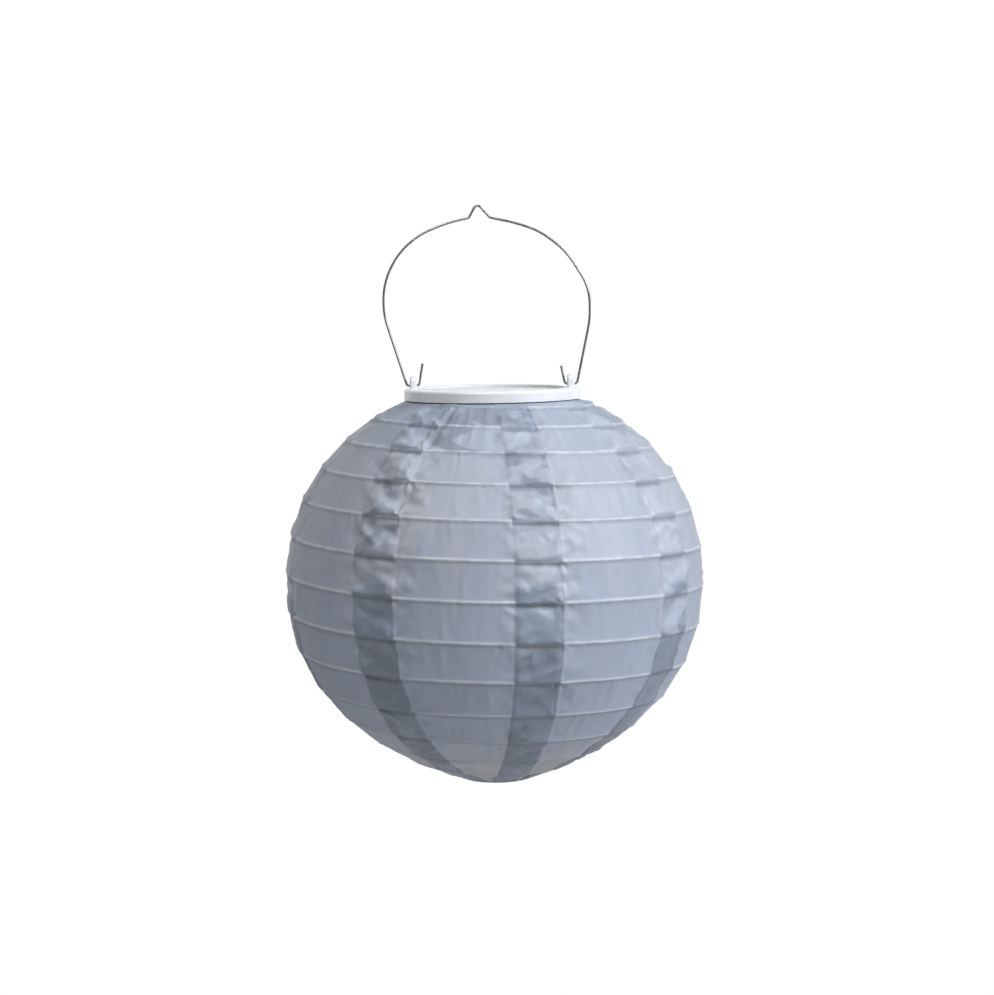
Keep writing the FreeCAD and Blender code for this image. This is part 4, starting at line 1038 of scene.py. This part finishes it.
finishes = {
    "bail_wire": steel, "top_ring": steel, "bottom_ring": steel, "expander_frame": steel,
    "spiral_rib": spring_steel, "battery_spring": contact, "battery_plate": contact, "led_leads": contact,
    "lid_top_casing": white, "lid_bottom_housing": white, "battery_door": white,
    "panel_window": window_sheet(), "panel_seal": seal, "solar_cell_board": backing,
    "solar_cells": solar_cell(), "panel_lead_red": red, "panel_lead_black": black,
    "switch_body": black, "switch_knob": black, "battery_cell": battery_wrap(),
    "circuit_board": green_board(), "board_components": component,
    "led_bulb": frosted("lamp_lens", tint(0.95, 0.94, 0.86), 0.06, 0.9, 0.0),
    "led_diffuser": frosted("milky_dome", tint(0.90, 0.91, 0.91), 0.45, 0.55, 0.2),
    "housing_screws": screw_steel, "battery_door_screw": screw_steel,
}
for name, material in finishes.items():
    nodes[name].data.materials.clear()
    nodes[name].data.materials.append(material)
paint = (
    (gores, silk()),
    (screws, screw_steel),
    ([collar, rim_bead, grips], white),
    ([ribbons, tabs, cup], contact),
)
for pieces, material in paint:
    for piece in pieces:
        piece.data.materials.append(material)
print("finishes:", len(bpy.data.materials))

# %% [markdown]
# ## Stage, light and camera
# The photograph has a plain white ground and soft light from the right and above, so the left side and the
# underside of the ball are darker. A large cool light stands to the right like a window, one hangs above
# the front and a little to the left like a bright ceiling, and a faint one fills from below. The floor is
# far below, because the lantern hangs. A pale wall far behind gives the lid and its window something bright
# to reflect.

# %% Floor and backdrop
FLOOR = -0.9


def stage_piece(name, points, shines=False):
    """A part of the stage in a pale, even finish, bright to the camera, or to all light if it shines."""
    piece = grid_piece(name, points)
    graph = Graph(name + "_white")
    path = 1.0 if shines else graph.add("LightPath").outputs["Is Camera Ray"]
    soft = graph.noise(graph.place(), 3, detail=2)
    graph.set(Base_Color=graph.blend(soft, tint(0.76, 0.76, 0.76), tint(0.80, 0.80, 0.80)), Roughness=0.9)
    glow = graph.add("Emission", {"Color": tint(1, 1, 1), "Strength": 1.0})
    both = graph.add("MixShader", {0: path, 1: graph.shader.outputs[0], 2: glow.outputs[0]})
    graph.put(graph.output.inputs["Surface"], both.outputs[0])
    piece.data.materials.append(graph.material)


FLOOR_REACH = 12
side = np.linspace(-FLOOR_REACH, FLOOR_REACH, 25)
floor_x, floor_y = np.meshgrid(side, side)
stage_piece("pale_floor", np.stack([floor_x, floor_y, 0 * floor_x + FLOOR], axis=-1)[:, ::-1])
WALL = 4.0
WALL_REACH = 5
WALL_TOP = 2.6
wall_x, wall_z = np.meshgrid(np.linspace(-WALL_REACH, WALL_REACH, 11), np.linspace(FLOOR, WALL_TOP, 8))
stage_piece("pale_wall", np.stack([wall_x, 0 * wall_x + WALL, wall_z], axis=-1), shines=True)
print("floor at", FLOOR, "and a pale wall behind at", WALL)


# %% Lights
LIGHT_SIZE = 1.4
LANTERN_MIDDLE = Vector((0, 0, 0.14))


def soft_light(name, place, power, colour=(1, 1, 1)):
    """A square area light that looks at the middle of the lantern."""
    lamp = bpy.data.lights.new(name, "AREA")
    lamp.size = LIGHT_SIZE
    lamp.energy = power
    lamp.color = colour
    made = bpy.data.objects.new(name, lamp)
    made.location = place
    made.rotation_euler = (LANTERN_MIDDLE - Vector(place)).to_track_quat("-Z", "Y").to_euler()
    bpy.context.scene.collection.objects.link(made)


soft_light("window_light", (1.95, -0.95, 1.4), 70, (0.90, 0.95, 1.0))
soft_light("ceiling_light", (-0.55, -1.3, 2.2), 35)
soft_light("floor_bounce", (1.4, -1.9, -0.5), 1)


# %% The room
ROOM_DIM = tint(0.094, 0.096, 0.100)
ROOM_SHINE = tint(0.25, 0.255, 0.265)
ROOM_WHITE = tint(1.0, 1.0, 1.0)
world = bpy.data.worlds.new("pale_room")
graph = Graph("pale_room", world)
rays = graph.add("LightPath").outputs
room = graph.blend(rays["Is Glossy Ray"], ROOM_DIM, ROOM_SHINE)
graph.set(Color=graph.blend(rays["Is Camera Ray"], room, ROOM_WHITE))
bpy.context.scene.world = world
bpy.context.scene.view_settings.view_transform = "Standard"
print("the room is dim to the cloth, paler in reflections and white to the camera")

# %% Camera
CAMERA_PLACE = (0.0020, -1.4, 0.297)
DOWNWARD = math.radians(5.22)
LEAN = 0.014
FOCAL_LENGTH = 84.7
lens = bpy.data.cameras.new("photo_camera")
lens.sensor_width = 36
lens.lens = FOCAL_LENGTH
lens.clip_start = 0.05
lens.clip_end = 100
camera = bpy.data.objects.new("photo_camera", lens)
camera.location = CAMERA_PLACE
look = Euler((math.pi / 2 - DOWNWARD, 0, 0)).to_matrix() @ Matrix.Rotation(-LEAN, 3, "Z")
camera.rotation_euler = look.to_euler()
bpy.context.scene.collection.objects.link(camera)
bpy.context.scene.camera = camera
print("camera at", [round(value, 3) for value in camera.location])
